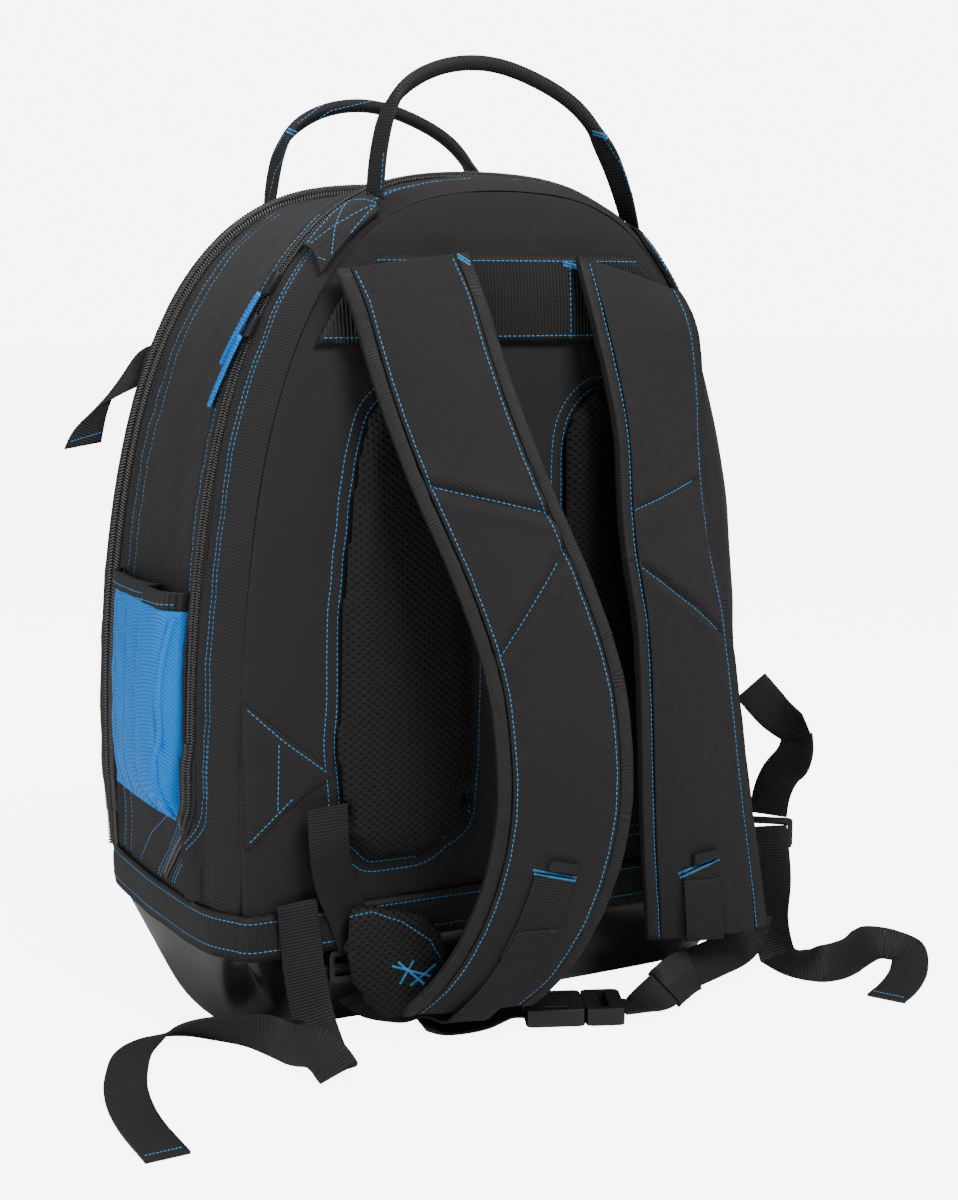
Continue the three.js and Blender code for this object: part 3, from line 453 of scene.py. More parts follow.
def ripple(points, size, seed=0):
    """Smooth irregular waves about -1 to 1, with folds about size metres apart."""
    rng = np.random.default_rng(seed)
    total = np.zeros(len(points))
    for share in (1, 1.7, 2.9):
        for _ in range(3):
            way = rng.normal(size=3)
            way /= np.linalg.norm(way)
            total += np.sin(points @ way * 2 * math.pi * share / size + rng.uniform(0, 7)) / share
    return total / 4


# %% [markdown]
# ## Reading a strip's run
# Straps and webbing bend through space, so their stitches and ribs need the strip's own measures:
# how far along it, and how far across. The solids are strips of equal rings, so walking from the
# flat end from ring to ring gives the whole run.


# %% Runs of strips
WEB_AREA = 25 * 1.8 * MM * MM


def marks_of(points):
    """How far along a line each of its points lies."""
    steps = np.linalg.norm(np.diff(points, axis=0), axis=1)
    return np.concatenate([[0], np.cumsum(steps)])


def between(places, marks, rows):
    """The values at these places of rows that are known at the marks."""
    return np.stack([np.interp(places, marks, row) for row in rows.T], 1)


class Run:
    """The middle line of a strip, with the way across it and the way out of its face."""

    def __init__(self, centres, sides):
        self.centres = centres
        self.marks = marks_of(centres)
        self.length = self.marks[-1]
        self.sides = sides
        ways = np.gradient(centres, axis=0)
        self.faces = np.cross(ways, sides)
        self.faces /= np.linalg.norm(self.faces, axis=1)[:, None]

    def at(self, along, across=0.0, lift=0.0):
        """Points and face directions at those places."""
        along = np.atleast_1d(along)
        across = np.broadcast_to(across, along.shape)[:, None]
        rows = (self.centres, self.sides, self.faces)
        centres, sides, faces = (between(along, self.marks, row) for row in rows)
        return centres + sides * across + faces * lift, faces

    def measure(self, points):
        """How far along the middle line and how far across it each point lies."""
        best = np.full(len(points), np.inf)
        along, across = np.zeros(len(points)), np.zeros(len(points))
        for i, start in enumerate(self.centres[:-1]):
            way = self.centres[i + 1] - start
            size = np.linalg.norm(way)
            reach = (points - start) @ way / size**2
            share = np.clip(reach, 0, 1)
            off = points - start - share[:, None] * way
            distance = np.linalg.norm(off, axis=1)
            near = distance < best
            best[near] = distance[near]
            along[near] = (self.marks[i] + share * size)[near]
            across[near] = (off @ self.sides[i])[near]
        return along, across


def end_rings(mesh, count):
    """The flat ends of a strip with count points in each ring."""
    ends = []
    for face in mesh.faces:
        group, rim = {face}, [face]
        while rim:
            for edge in rim.pop().edges:
                for other in edge.link_faces:
                    if other not in group and other.normal.dot(face.normal) > 0.9999:
                        group.add(other)
                        rim.append(other)
        corners = {corner for other in group for corner in other.verts}
        size = sum(other.calc_area() for other in group)
        flat_end = count > 4 or abs(size - WEB_AREA) < 0.04 * WEB_AREA
        if len(corners) in (count, count + 1) and flat_end:
            ends.append({c for c in corners if any(f not in group for f in c.link_faces)})
    return ends


def run_of(node, count, start):
    """The run of a strip-like solid with count points in a ring, from the end nearest to start."""
    mesh = bmesh.new()
    mesh.from_mesh(nodes[node].data)
    bmesh.ops.remove_doubles(mesh, verts=mesh.verts, dist=1e-5)
    middle = lambda ring: np.mean([c.co for c in ring], axis=0)
    ends = end_rings(mesh, count)
    ring = min(ends, key=lambda end: np.linalg.norm(middle(end) - np.array(start)))
    seen, rings = set(ring), [ring]
    while len(ring) >= count:
        ring = {e.other_vert(c) for c in ring for e in c.link_edges} - seen
        seen |= ring
        if len(ring) >= count:
            rings.append(ring)
    centres = np.array([middle(ring) for ring in rings])
    sides = []
    for ring in rings:
        corners = np.array([c.co for c in ring])
        side = np.linalg.svd(corners - corners.mean(axis=0))[2][0]
        sides.append(side if not sides or side @ sides[-1] > 0 else -side)
    mesh.free()
    run = Run(centres, np.array(sides))
    if run.faces[0][1] > 0:
        run = Run(centres, -np.array(sides))
    print(node, "rings", len(rings), "length", round(run.length / MM), "mm")
    return run


def lay_weave(piece, along, across):
    """Gives every point its place on the cloth, in metres, as a UV map."""
    layer = piece.data.uv_layers.new(name="cloth")
    corners = np.empty(len(piece.data.loops), dtype=int)
    piece.data.loops.foreach_get("vertex_index", corners)
    places = np.stack([np.asarray(along)[corners], np.asarray(across)[corners]], axis=1)
    layer.data.foreach_set("uv", places.ravel())


def weave_along(piece, run):
    lay_weave(piece, *run.measure(points_of(piece)))


runs = {
    node: run_of(node, count, start)
    for node, count, start in [
        ("shoulder_strap_left", 10, (0, -0.11, 0.46)),
        ("shoulder_strap_right", 10, (0.1, -0.11, 0.46)),
        ("load_web_left", 4, (-0.02, -0.18, 0.07)),
        ("load_web_right", 4, (0.1, -0.15, 0.08)),
        ("anchor_web_left", 4, (-0.14, -0.11, 0.15)),
        ("anchor_web_right", 4, (0.17, -0.1, 0.2)),
        ("tail_left", 4, (-0.12, -0.05, 0.09)),
        ("tail_right", 4, (0.18, -0.1, 0.09)),
        ("belt_web_left", 4, (0, -0.13, 0.01)),
        ("belt_web_right", 4, (0.06, -0.13, 0.01)),
        ("compression_strap", 4, (-0.15, 0.1, 0.41)),
        ("rear_handle", 8, (-0.08, -0.08, 0.49)),
        ("front_handle", 8, (-0.08, 0.1, 0.48)),
    ]
}

# %% [markdown]
# ## The moulded tub
# The base is a polypropylene tub with flared walls and soft corners. Its solid has the right
# shape in coarse steps, so a creased subdivision of a copy gives the smooth moulding.

# %% Tub
tub = smooth_copy("base_tub", 50, 2)
dress(tub, tub_plastic, "tub_plastic", "base_tub", smooth=50)
print("tub faces:", len(tub.data.polygons))

# %% [markdown]
# ## The cloth walls
# The walls are polyester with thin foam inside: they stand by themselves, but pull in along each
# stitch row and stand up in small puckers between the stitches. The copies of the shells are
# subdivided to a few millimetres, and each point is then pushed out or in by a formula of its
# place.

# %% Cloth walls
REAR_ZIP = (-66 * MM, -58 * MM)
FRONT_ZIP = (74 * MM, 90 * MM)
RIM_TOP = 85 * MM
ZIP_STEP = 9 * MM
ARCH_MIDDLE = 0.2
ARCH_RADIUS = 0.24
REAR_STEP = 4 * MM
# Where the steps behind the two zips fade out, and how far above the rim they are full.
FRONT_FADE = (96 * MM, 120 * MM)
REAR_FADE = (-54 * MM, -15 * MM)
FULL_ABOVE_RIM = 60 * MM
LOW_SHARE = 0.45
# The channel of a stitch row, the puckers beside it, and the lip that stands up along a zip.
ROW_DEPTH, ROW_WIDTH = 0.9 * MM, 2.2 * MM
PUCKER_HEIGHT, PUCKER_REACH, PUCKER_SIZE = 0.45 * MM, 7 * MM, 18 * MM
LIP_HEIGHT, LIP_WIDTH = 1.3 * MM, 3.2 * MM
# Broad waves and fine crumples of the cloth, as sizes, and the height of the crumples.
WAVE_SIZE, CRUMPLE_SIZE, CRUMPLE_HEIGHT = 0.16, 0.035, 0.35 * MM
REAR_ROWS = (-76 * MM, -72 * MM)
SIDE_ROWS = (-50 * MM, 52 * MM, 66 * MM)
FRONT_ROWS = (95 * MM, 99 * MM)


def round_arch(points):
    """How far round the bag's arch each point lies, in metres."""
    angle = np.arctan2(points[:, 0], points[:, 2] - ARCH_MIDDLE)
    return angle * ARCH_RADIUS


def radial(points):
    """The way out from the middle of the arch, for each point."""
    way = points * (1, 0, 1) - (0, 0, ARCH_MIDDLE)
    return way / np.linalg.norm(way, axis=1)[:, None]


def outside(points, normals):
    """1 on the outer face of a wall, 0 on its inner face."""
    out = points * (1, 0, 1) - (0, 0, ARCH_MIDDLE)
    return smooth_step(np.einsum("ij,ij->i", out, normals), 0, 0.05)


def pulled_rows(points, rows, seed):
    """The channel of each stitch row, with the puckers on both sides of it."""
    total = np.zeros(len(points))
    pucker = ripple(columns(round_arch(points), 0, 0), PUCKER_SIZE, seed)
    for row in rows:
        total -= ROW_DEPTH * ridge(points[:, 1], row, ROW_WIDTH)
        total += PUCKER_HEIGHT * pucker * ridge(points[:, 1], row, PUCKER_REACH)
    return total


def swell_out(points):
    """How far the cloth stands proud of the plain arch: a step at each zip, towards the front."""
    y = points[:, 1]
    front = ZIP_STEP * smooth_step(y, *FRONT_ZIP) * (1 - smooth_step(y, *FRONT_FADE))
    rear = REAR_STEP * smooth_step(y, *REAR_ZIP) * (1 - smooth_step(y, *REAR_FADE))
    above_rim = smooth_step(points[:, 2], RIM_TOP, RIM_TOP + FULL_ABOVE_RIM)
    return (front + rear) * (LOW_SHARE + (1 - LOW_SHARE) * above_rim)


def sewn_wall(node, levels, rows, zips, seed, wave=1.6 * MM):
    wall = smooth_copy(node, 40, levels)
    points, normals = points_of(wall), normals_of(wall)
    height = pulled_rows(points, rows, seed)
    for edge in zips:
        height += LIP_HEIGHT * ridge(points[:, 1], edge, LIP_WIDTH)
    fade = smooth_step(points[:, 2], RIM_TOP, RIM_TOP + 25 * MM)
    height += fade * wave * ripple(points, WAVE_SIZE, seed + 5)
    height += fade * CRUMPLE_HEIGHT * ripple(points, CRUMPLE_SIZE, seed + 9)
    push_out(wall, height * outside(points, normals))
    move_points(wall, points_of(wall) + swell_out(points)[:, None] * radial(points))
    dress(wall, charcoal_twill, "charcoal_cloth", node)
    print(node, "faces:", len(wall.data.polygons))
    return wall


# Each wall: its node, levels of subdivision, stitch rows, zip edges and the seed of its waves.
rear_gusset = sewn_wall("rear_gusset", 3, REAR_ROWS, (REAR_ZIP[0],), 3)
side_gusset = sewn_wall("side_gusset", 4, SIDE_ROWS, (REAR_ZIP[1], FRONT_ZIP[0]), 4)
front_panel = sewn_wall("front_panel", 3, FRONT_ROWS, (FRONT_ZIP[1],), 6, 0.8 * MM)

# %% [markdown]
# ## The padded back
# The back is a foam panel under twill. It is subdivided like the walls and gets broad soft
# swells, because foam under cloth is never quite flat. Under the haul webbing it is pressed in.

# %% Back panel
# The haul webbing lies between these heights, and ends at this distance from the middle.
WEB_LOW, WEB_TOP = (405 * MM, 418 * MM), (-485 * MM, -472 * MM)
WEB_END = (122 * MM, 132 * MM)
WEB_PRESS = 1.3 * MM
back_panel = smooth_copy("back_panel", 60, 3)
points, normals = points_of(back_panel), normals_of(back_panel)
facing = smooth_step(-normals[:, 1], 0.2, 0.8)
swell = 0.9 * MM * ripple(points, 0.12, 11) + 0.4 * MM * ripple(points, 0.03, 12)
under_web = smooth_step(points[:, 2], *WEB_LOW) * smooth_step(-points[:, 2], *WEB_TOP)
past_end = smooth_step(np.abs(points[:, 0]), *WEB_END)
swell = swell * (1 - 0.8 * under_web) - WEB_PRESS * under_web * (1 - past_end)
push_out(back_panel, swell * facing)
dress(back_panel, charcoal_twill, "charcoal_cloth", "back_panel")
print("back panel faces:", len(back_panel.data.polygons))

# %% [markdown]
# ## The band round the rim
# A wide ribbed webbing covers the seam between tub and cloth. Its ribs stand upright, so its UV
# map runs round the bag. The sum of x and y changes steadily round every corner.

# %% Rim band
# The band's broad roll and the narrow channel of its upper row: place, width and height.
ROLL_AT, ROLL_WIDTH, ROLL_HEIGHT = 72 * MM, 14 * MM, 1.2 * MM
CHANNEL_AT, CHANNEL_WIDTH, CHANNEL_DEPTH = 80 * MM, 1.6 * MM, 0.6 * MM
rim_band = smooth_copy("rim_band", 50, 3)
points, normals = points_of(rim_band), normals_of(rim_band)
out = smooth_step(np.einsum("ij,ij->i", points * (1, 1, 0), normals), 0, 0.05)
roll = ridge(points[:, 2], ROLL_AT, ROLL_WIDTH) * ROLL_HEIGHT
roll = roll - CHANNEL_DEPTH * ridge(points[:, 2], CHANNEL_AT, CHANNEL_WIDTH)
push_out(rim_band, out * (roll + 0.5 * MM * ripple(points, 0.07, 15)))
lay_weave(rim_band, points[:, 1] + np.abs(points[:, 0]), points[:, 2])
dress(rim_band, black_webbing, "webbing_black", "rim_band", smooth=50)
print("rim band faces:", len(rim_band.data.polygons))

# %% [markdown]
# ## Air mesh pads by cloth simulation
# The two pads on the back are foam under an open spacer mesh, and they bulge between their seams.
# Blown up like a cushion, a remeshed copy takes that crowned shape by itself. The cap on how far
# a point may move keeps the pads inside the space that the solids hold for them.

# %% Padded pieces
VOXEL = 4 * MM
CLOTH_PRESSURE = 4
CLOTH_FRAMES = 20


def swollen(node, cap):
    """A copy of a solid, blown up with Cloth pressure, with each point's travel capped."""
    pad = merged_copy(node)
    modify(pad, "REMESH", mode="VOXEL", voxel_size=VOXEL)
    rest = points_of(pad)
    cloth = pad.modifiers.new("Cloth", "CLOTH")
    cloth.settings.use_pressure = True
    cloth.settings.uniform_pressure_force = CLOTH_PRESSURE
    cloth.settings.effector_weights.gravity = 0
    cloth.settings.tension_stiffness = 25
    cloth.settings.mass = 0.25
    cloth.point_cache.frame_end = CLOTH_FRAMES
    for step in range(1, CLOTH_FRAMES + 1):
        bpy.context.scene.frame_set(step)
    select_only(pad)
    bpy.ops.object.modifier_apply(modifier="Cloth")
    bpy.context.scene.frame_set(1)
    travel = points_of(pad) - rest
    size = np.linalg.norm(travel, axis=1)[:, None]
    move_points(pad, rest + travel * np.minimum(1, cap / np.maximum(size, 1e-9)))
    print(node, "largest travel", round(float(size.max()) / MM, 1), "mm")
    subdivide(pad, 1)
    return pad


mesh_pads = [swollen(f"mesh_pad_{side}", 3 * MM) for side in ("left", "right")]
for pad, side in zip(mesh_pads, ("left", "right")):
    dress(pad, air_mesh, "spacer_mesh", f"mesh_pad_{side}", smooth=80)

# %% [markdown]
# ## Shoulder straps
# Each strap is a foam pad under twill, bound along both edges. The foam puffs up between the
# bindings, and two slanting seams cross it. The strap's own run gives along and across, so the
# grooves of those seams can be written as lines in flat cloth.

# %% Shoulder straps
STRAP_HALF = 32 * MM
BINDING_AT, BINDING_WIDTH = 25 * MM, 5 * MM
GROOVE_DEPTH, GROOVE_WIDTH = 2.4 * MM, 3.0 * MM
SHOULDER_HEIGHT, SHOULDER_AT, SHOULDER_WIDTH = 0.8 * MM, 9 * MM, 5 * MM
# Each seam: (height above the floor, share across from the middle) at its two ends.
STRAP_SEAMS = {
    "left": [((0.339, -0.9), (0.324, 0.85)), ((0.295, 0.75), (0.242, -0.95))],
    "right": [((0.319, -0.95), (0.333, 0.8)), ((0.285, -0.9), (0.240, 0.9))],
}


def seam_places(side):
    """The ends of each seam as (along, across) on the strap."""
    run = runs[f"shoulder_strap_{side}"]
    heights = run.centres[:, 2]
    return [
        [(float(np.interp(-z, -heights, run.marks)), share * STRAP_HALF) for z, share in seam]
        for seam in STRAP_SEAMS[side]
    ]


def strap(side, seed):
    node = f"shoulder_strap_{side}"
    piece = smooth_copy(node, 50, 4)
    points, normals = points_of(piece), normals_of(piece)
    run = runs[node]
    along, across = run.measure(points)
    crown = 1 - (across / STRAP_HALF) ** 2
    height = 0.7 * MM * np.clip(crown, 0, 1) * ripple(points, 0.09, seed)
    edge = ridge(np.abs(across), BINDING_AT, BINDING_WIDTH)
    height += 0.55 * MM * edge * ripple(columns(along, across * 0.15, 0), 0.02, seed + 1)
    height += 0.25 * MM * ripple(points, 0.018, seed + 2)
    for seam in seam_places(side):
        # The ends are measured like the points, so that the groove lies under its stitch row.
        (a0, a1), (c0, c1) = run.measure(run.at(*np.transpose(seam))[0])
        off = along - (a0 + (across - c0) * (a1 - a0) / (c1 - c0))
        puckers = ripple(columns(across, off * 0.3, 0), 0.02, seed + 3)
        height -= GROOVE_DEPTH * ridge(off, 0, GROOVE_WIDTH)
        height += SHOULDER_HEIGHT * ridge(np.abs(off), SHOULDER_AT, SHOULDER_WIDTH)
        height += 0.5 * MM * ridge(off, 0, 14 * MM) * puckers
    face = smooth_step(np.abs(normals[:, 1]), 0.2, 0.7)
    push_out(piece, height * face * smooth_step(STRAP_HALF - np.abs(across), 0, 4 * MM))
    dress(piece, charcoal_twill, "charcoal_cloth", node, smooth=60)
    return piece


straps = {side: strap(side, seed) for side, seed in (("left", 21), ("right", 27))}
print("strap faces:", [len(piece.data.polygons) for piece in straps.values()])

# %% [markdown]
# ## Bindings and webbing
# Bindings are ribbed tape folded over the strap's edge. The copies are rounded by subdivision,
# and their UV maps follow the strap, so the ribs cross them at a right angle all the way down.
# Webbing keeps its flat faces: only a narrow bevel breaks its edges.

# %% Bindings and webbing
bindings = {}
for side in ("left", "right"):
    for edge in ("a", "b"):
        node = f"strap_binding_{side}_{edge}"
        piece = smooth_copy(node, 70, 2)
        along, across = runs[f"shoulder_strap_{side}"].measure(points_of(piece))
        push_out(piece, 0.3 * MM * ripple(columns(along, 0, 0), 0.016, len(node) + ord(edge)))
        lay_weave(piece, along, across)
        bindings[side, edge] = dress(piece, black_binding, "webbing_black", node, smooth=60)


def bevel(piece, width, segments, angle):
    """Rounds the edges that are sharper than angle."""
    limit = {"limit_method": "ANGLE", "angle_limit": math.radians(angle)}
    modify(piece, "BEVEL", width=width, segments=segments, **limit)


def webbing(node):
    piece = smooth_copy(node, 60, 2)
    weave_along(piece, runs[node])
    bevel(piece, 0.35 * MM, 2, 50)
    return dress(piece, black_webbing, "webbing_black", node, smooth=50)


webs = {
    node: webbing(node)
    for node in (
        "load_web_left", "load_web_right", "anchor_web_left", "anchor_web_right", "tail_left",
        "tail_right", "belt_web_left", "belt_web_right", "compression_strap",
    )
}
haul_web = smooth_copy("haul_web", 50, 2)
points = points_of(haul_web)
push_out(haul_web, 0.3 * MM * ripple(points, 0.06, 35))
lay_weave(haul_web, points_of(haul_web)[:, 0], points_of(haul_web)[:, 2])
dress(haul_web, haul_ribs, "webbing_black", "haul_web", smooth=50)

print("pieces of webbing:", len(webs) + len(bindings) + 1)

# %% [markdown]
# ## The carry handles
# Each handle is one length of webbing, rolled where the hand holds it and flat where it is sewn
# down. The solid has this change of section already, so a smooth copy is enough, and the ribs
# follow the handle's own run.

# %% Handles
handles = {}
for side in ("rear", "front"):
    node = f"{side}_handle"
    piece = smooth_copy(node, 60, 3)
    weave_along(piece, runs[node])
    handles[side] = dress(piece, black_webbing, "webbing_black", node, smooth=60)
print("handle faces:", [len(piece.data.polygons) for piece in handles.values()])

# %% [markdown]
# ## The blue side pocket
# Two flat compartments of bright coated twill, each with a ribbed binding over its mouth. The
# rear one bulges, because its cloth is cut wider than its place, and the front one is drawn flat
# at its edge.

# %% Pocket
pockets, pocket_bindings = {}, []
for part, seed in (("front", 41), ("rear", 44)):
    node = f"pocket_{part}"
    piece = smooth_copy(node, 50, 3)
    points, normals = points_of(piece), normals_of(piece)
    out = smooth_step(-normals[:, 0], 0.1, 0.7)
    middle = smooth_step(points[:, 2], 131 * MM, 160 * MM)
    height = 0.8 * MM * ripple(points, 0.06, seed) + 0.4 * MM * ripple(points, 0.022, seed + 1)
    if part == "rear":
        bulge = 3.0 * MM * ridge(points[:, 1], -30 * MM, 16 * MM)
        height += bulge + 1.8 * MM * ridge(points[:, 1], -12 * MM, 6 * MM)
        fold = points[:, 1] + 47 * MM - 0.12 * (points[:, 2] - 0.2)
        height -= 2.0 * MM * ridge(fold, 0, 1.8 * MM) * smooth_step(0.225 - points[:, 2], 0, 0.05)
    else:
        drawn_in = 3.0 * MM * smooth_step(points[:, 1], 48 * MM, 66 * MM)
        height -= drawn_in + 2.2 * MM * ridge(points[:, 1], -9 * MM, 9 * MM)
        height += 1.2 * MM * ridge(points[:, 1], 12 * MM, 12 * MM)
    push_out(piece, out * middle * height)
    pockets[part] = dress(piece, blue_twill, "blue_cloth", node)
    print(node, "faces:", len(piece.data.polygons))
    node = f"pocket_binding_{part}"
    piece = smooth_copy(node, 50, 3)
    points = points_of(piece)
    push_out(piece, 0.3 * MM * ripple(points, 0.02, seed + 2))
    lay_weave(piece, points[:, 1], points[:, 2])
    pocket_bindings.append(dress(piece, black_binding, "webbing_black", node, smooth=60))

# %% [markdown]
# ## Belt wings and handle patches
# The hip wings are thin foam under the same mesh as the back, so they are blown up in the same
# way. Small patches of twill cover the sewn ends of the handles. They only need soft rims and a
# faint wave.

# %% Wings and patches
wings = {}
for side in ("left", "right"):
    node = f"belt_wing_{side}"
    wing = swollen(node, 2.5 * MM)
    wings[side] = dress(wing, air_mesh, "spacer_mesh", node, smooth=80)

patches = {}
for place in ("rear_left", "rear_right", "front_left", "front_right"):
    node = f"handle_patch_{place}"
    piece = smooth_copy(node, 50, 3)
    push_out(piece, 0.3 * MM * ripple(points_of(piece), 0.02, len(node)))
    patches[node] = dress(piece, charcoal_twill, "charcoal_cloth", node)

# %% [markdown]
# ## Moulded fittings
# Buckle, adjusters and sliders are small mouldings. A Bevel on a copy gives each edge the small
# round that catches the light.

# %% Fittings
for node in ("buckle_female", "buckle_male", "ladder_lock_left", "ladder_lock_right",
             "zip_slider_upper", "zip_slider_lower"):
    piece = merged_copy(node)
    bevel(piece, 0.7 * MM, 3, 35)
    dress(piece, buckle_plastic, "buckle_plastic", node, smooth=50)
keeper = smooth_copy("belt_keeper", 60, 1)
lay_weave(keeper, points_of(keeper)[:, 2], points_of(keeper)[:, 0])
dress(keeper, black_binding, "webbing_black", "belt_keeper")
pullers = {}
for node in ("puller_upper", "puller_lower"):
    piece = smooth_copy(node, 50, 2)
    pullers[node] = dress(piece, blue_twill, "blue_cloth", node)
print("zip pullers:", len(pullers))

# %% [markdown]
# ## Zips
# Both zips are large nylon coils between lips of cloth. One tooth is modelled and set
# along the arch in two slanting rows, which gives the herringbone of the real coil.

# %% Zip tapes and coils
RAY_REACH = 0.6
LINE_JUMP = 8 * MM
RIBBON_STEP = 3 * MM
TOOTH_TURN = 0.42
TOOTH_LIFT = 0.4 * MM
# Each zip: its middle, the pitch and half width of its coil, and how far round the arch it runs.
ZIPS = {
    "front_zip": (82 * MM, 2.0 * MM, 6.0 * MM, 2.1),
    "rear_zip": (-62 * MM, 1.7 * MM, 3.2 * MM, 1.66),
}


def surface_of(*pieces):
    """A tree for shooting rays at finished pieces."""
    points, faces = [], []
    for piece in pieces:
        first = len(points)
        points += [v.co[:] for v in piece.data.vertices]
        faces += [[first + i for i in f.vertices] for f in piece.data.polygons]
    return BVHTree.FromPolygons(points, faces)


def drop(surface, starts, ways):
    """Where each ray meets the surface: points and face directions."""
    found, faces = [], []
    for start, way in zip(starts, ways):
        point, normal, _, _ = surface.ray_cast(Vector(start), Vector(way).normalized())
        if point is not None:
            found.append(point[:])
            faces.append((normal if normal.dot(Vector(way)) < 0 else -normal)[:])
    return np.array(found), np.array(faces)


def arch_line(surface, y, end):
    """A line over the bag's arch at depth y, from the left foot to the right."""
    angles = np.linspace(-end, end, 900)
    out = columns(np.sin(angles), 0, np.cos(angles))
    return drop(surface, out * RAY_REACH + (0, y, ARCH_MIDDLE), -out)


def calm(points, faces, passes):
    """The same line, with its jumps over steps in the surface smoothed."""
    for _ in range(passes):
        points[1:-1] = (points[:-2] + points[1:-1] + points[2:]) / 3
        faces[1:-1] = (faces[:-2] + faces[1:-1] + faces[2:]) / 3
    return points, faces


def spaced(points, faces, pitch):
    """Places pitch apart along a line of points, with the ways along and out."""
    marks = marks_of(points)
    places = np.arange(pitch / 2, marks[-1], pitch)
    gaps = np.diff(marks)[np.searchsorted(marks, places) - 1]
    places = places[gaps < LINE_JUMP]
    rows = (points, np.gradient(points, axis=0), faces)
    centres, ahead, outs = (between(places, marks, row) for row in rows)
    ahead /= np.linalg.norm(ahead, axis=1)[:, None]
    outs -= np.einsum("ij,ij->i", outs, ahead)[:, None] * ahead
    outs /= np.linalg.norm(outs, axis=1)[:, None]
    return centres, ahead, outs


def pattern(name, size, rounding):
    """A small rounded bar with its centre at the origin, as points and faces."""
    bpy.ops.object.select_all(action="DESELECT")
    bpy.ops.mesh.primitive_cube_add(size=1)
    shape = bpy.context.object
    shape.name = name
    bpy.ops.object.mode_set(mode="EDIT")
    bpy.ops.transform.resize(value=size)
    bpy.ops.mesh.select_mode(type="EDGE")
    bpy.ops.mesh.select_all(action="SELECT")
    bpy.ops.mesh.bevel(offset=rounding, segments=1)
    bpy.ops.object.mode_set(mode="OBJECT")
    points = points_of(shape)
    faces = [list(f.vertices) for f in shape.data.polygons]
    bpy.data.objects.remove(shape, do_unlink=True)
    return points, faces


def new_piece(name, points, faces):
    mesh = bpy.data.meshes.new(name)
    mesh.from_pydata(points.reshape(-1, 3).tolist(), [], faces)
    piece = bpy.data.objects.new(name, mesh)
    bpy.context.scene.collection.objects.link(piece)
    return piece


def set_outward(piece):
    """Turns every face of a closed piece outward."""
    select_only(piece)
    bpy.ops.object.mode_set(mode="EDIT")
    bpy.ops.mesh.select_all(action="SELECT")
    bpy.ops.mesh.normals_make_consistent(inside=False)
    bpy.ops.object.mode_set(mode="OBJECT")


def repeat(name, shape, centres, ahead, outs, turn, shift):
    """One mesh with a copy of the shape at each place: x ahead, z out."""
    corners, faces = shape
    across = np.cross(outs, ahead)
    c, s = math.cos(turn), math.sin(turn)
    local = corners @ np.array([[c, s, 0], [-s, c, 0], [0, 0, 1]]) + shift
    points = (
        centres[:, None]
        + local[None, :, :1] * ahead[:, None]
        + local[None, :, 1:2] * across[:, None]
        + local[None, :, 2:] * outs[:, None]
    )
    count = len(corners)
    all_faces = [[i * count + k for k in face] for i in range(len(centres)) for face in faces]
    return new_piece(name, points, all_faces)


def coil_rows(name, tooth, places, off_middle):
    """Two rows of teeth side by side that slant to each other."""
    return [
        repeat(name, tooth, *places, side * TOOTH_TURN, (0, side * off_middle, TOOTH_LIFT))
        for side in (-1, 1)
    ]


def ribbon(name, line, width, thickness, material, slot="webbing_black"):
    """A flat strip along a line on a surface."""
    centres, ahead, outs = spaced(*line, RIBBON_STEP)
    across = np.cross(outs, ahead)
    half, shoulder, inset = width / 2, thickness * 0.7, width / 2 - 0.6 * MM
    ring = [(-half, 0), (-half, shoulder), (-inset, thickness)]
    ring += [(inset, thickness), (half, shoulder), (half, 0)]
    spots = np.stack([centres + across * a + outs * b for a, b in ring], 1)
    count, size = len(centres), len(ring)
    faces = []
    for i in range(count - 1):
        for k in range(size):
            here, after = i * size + k, i * size + (k + 1) % size
            faces.append([here, here + size, after + size, after])
    faces += [list(range(size)), [(count - 1) * size + k for k in reversed(range(size))]]
    piece = new_piece(name, spots, faces)
    set_outward(piece)
    marks = np.arange(count) * RIBBON_STEP
    lay_weave(piece, np.repeat(marks, size), np.tile([a for a, _ in ring], count))
    return dress(piece, material, slot)


def join(name, pieces):
    bpy.ops.object.select_all(action="DESELECT")
    for piece in pieces:
        piece.select_set(True)
    bpy.context.view_layer.objects.active = pieces[0]
    bpy.ops.object.join()
    pieces[0].name = name
    return pieces[0]


tapes = {}
for node, (middle, pitch, half, end) in ZIPS.items():
    tape = smooth_copy(node, 50, 2)
    points = points_of(tape)
    lay_weave(tape, round_arch(points), points[:, 1])
    move_points(tape, points + swell_out(points)[:, None] * radial(points))
    tapes[node] = dress(tape, zip_tape, "zip_tape", node)
    tooth = pattern("tooth", (pitch * 0.78, half * 1.05, 1.6 * MM), 0.38 * MM)
    places = spaced(*arch_line(surface_of(tape), middle, end), pitch)
    coil = join(f"{node}_coil", coil_rows(f"{node}_row", tooth, places, half * 0.48))
    dress(coil, zip_nylon, "zip_tape", smooth=50)
    print(node, "teeth:", 2 * len(places[0]))

# %% [markdown]
# ## Folds of the pocket
# The rear compartment is cut wider than its place, so its spare cloth lies in an upright fold
# along each side. Each fold is a narrow strip of the same cloth on the finished pocket.

# %% Pocket folds
SIDE_REACH = 0.4
FOLD_STEPS = 80
# Each fold: its y at the top and at the foot, its width and its thickness, in millimetres.
FOLDS = {
    "pocket_fold_middle": (-13, -11, 5.0, 2.6),
    "pocket_fold_rear": (-51, -46, 3.6, 2.0),
}


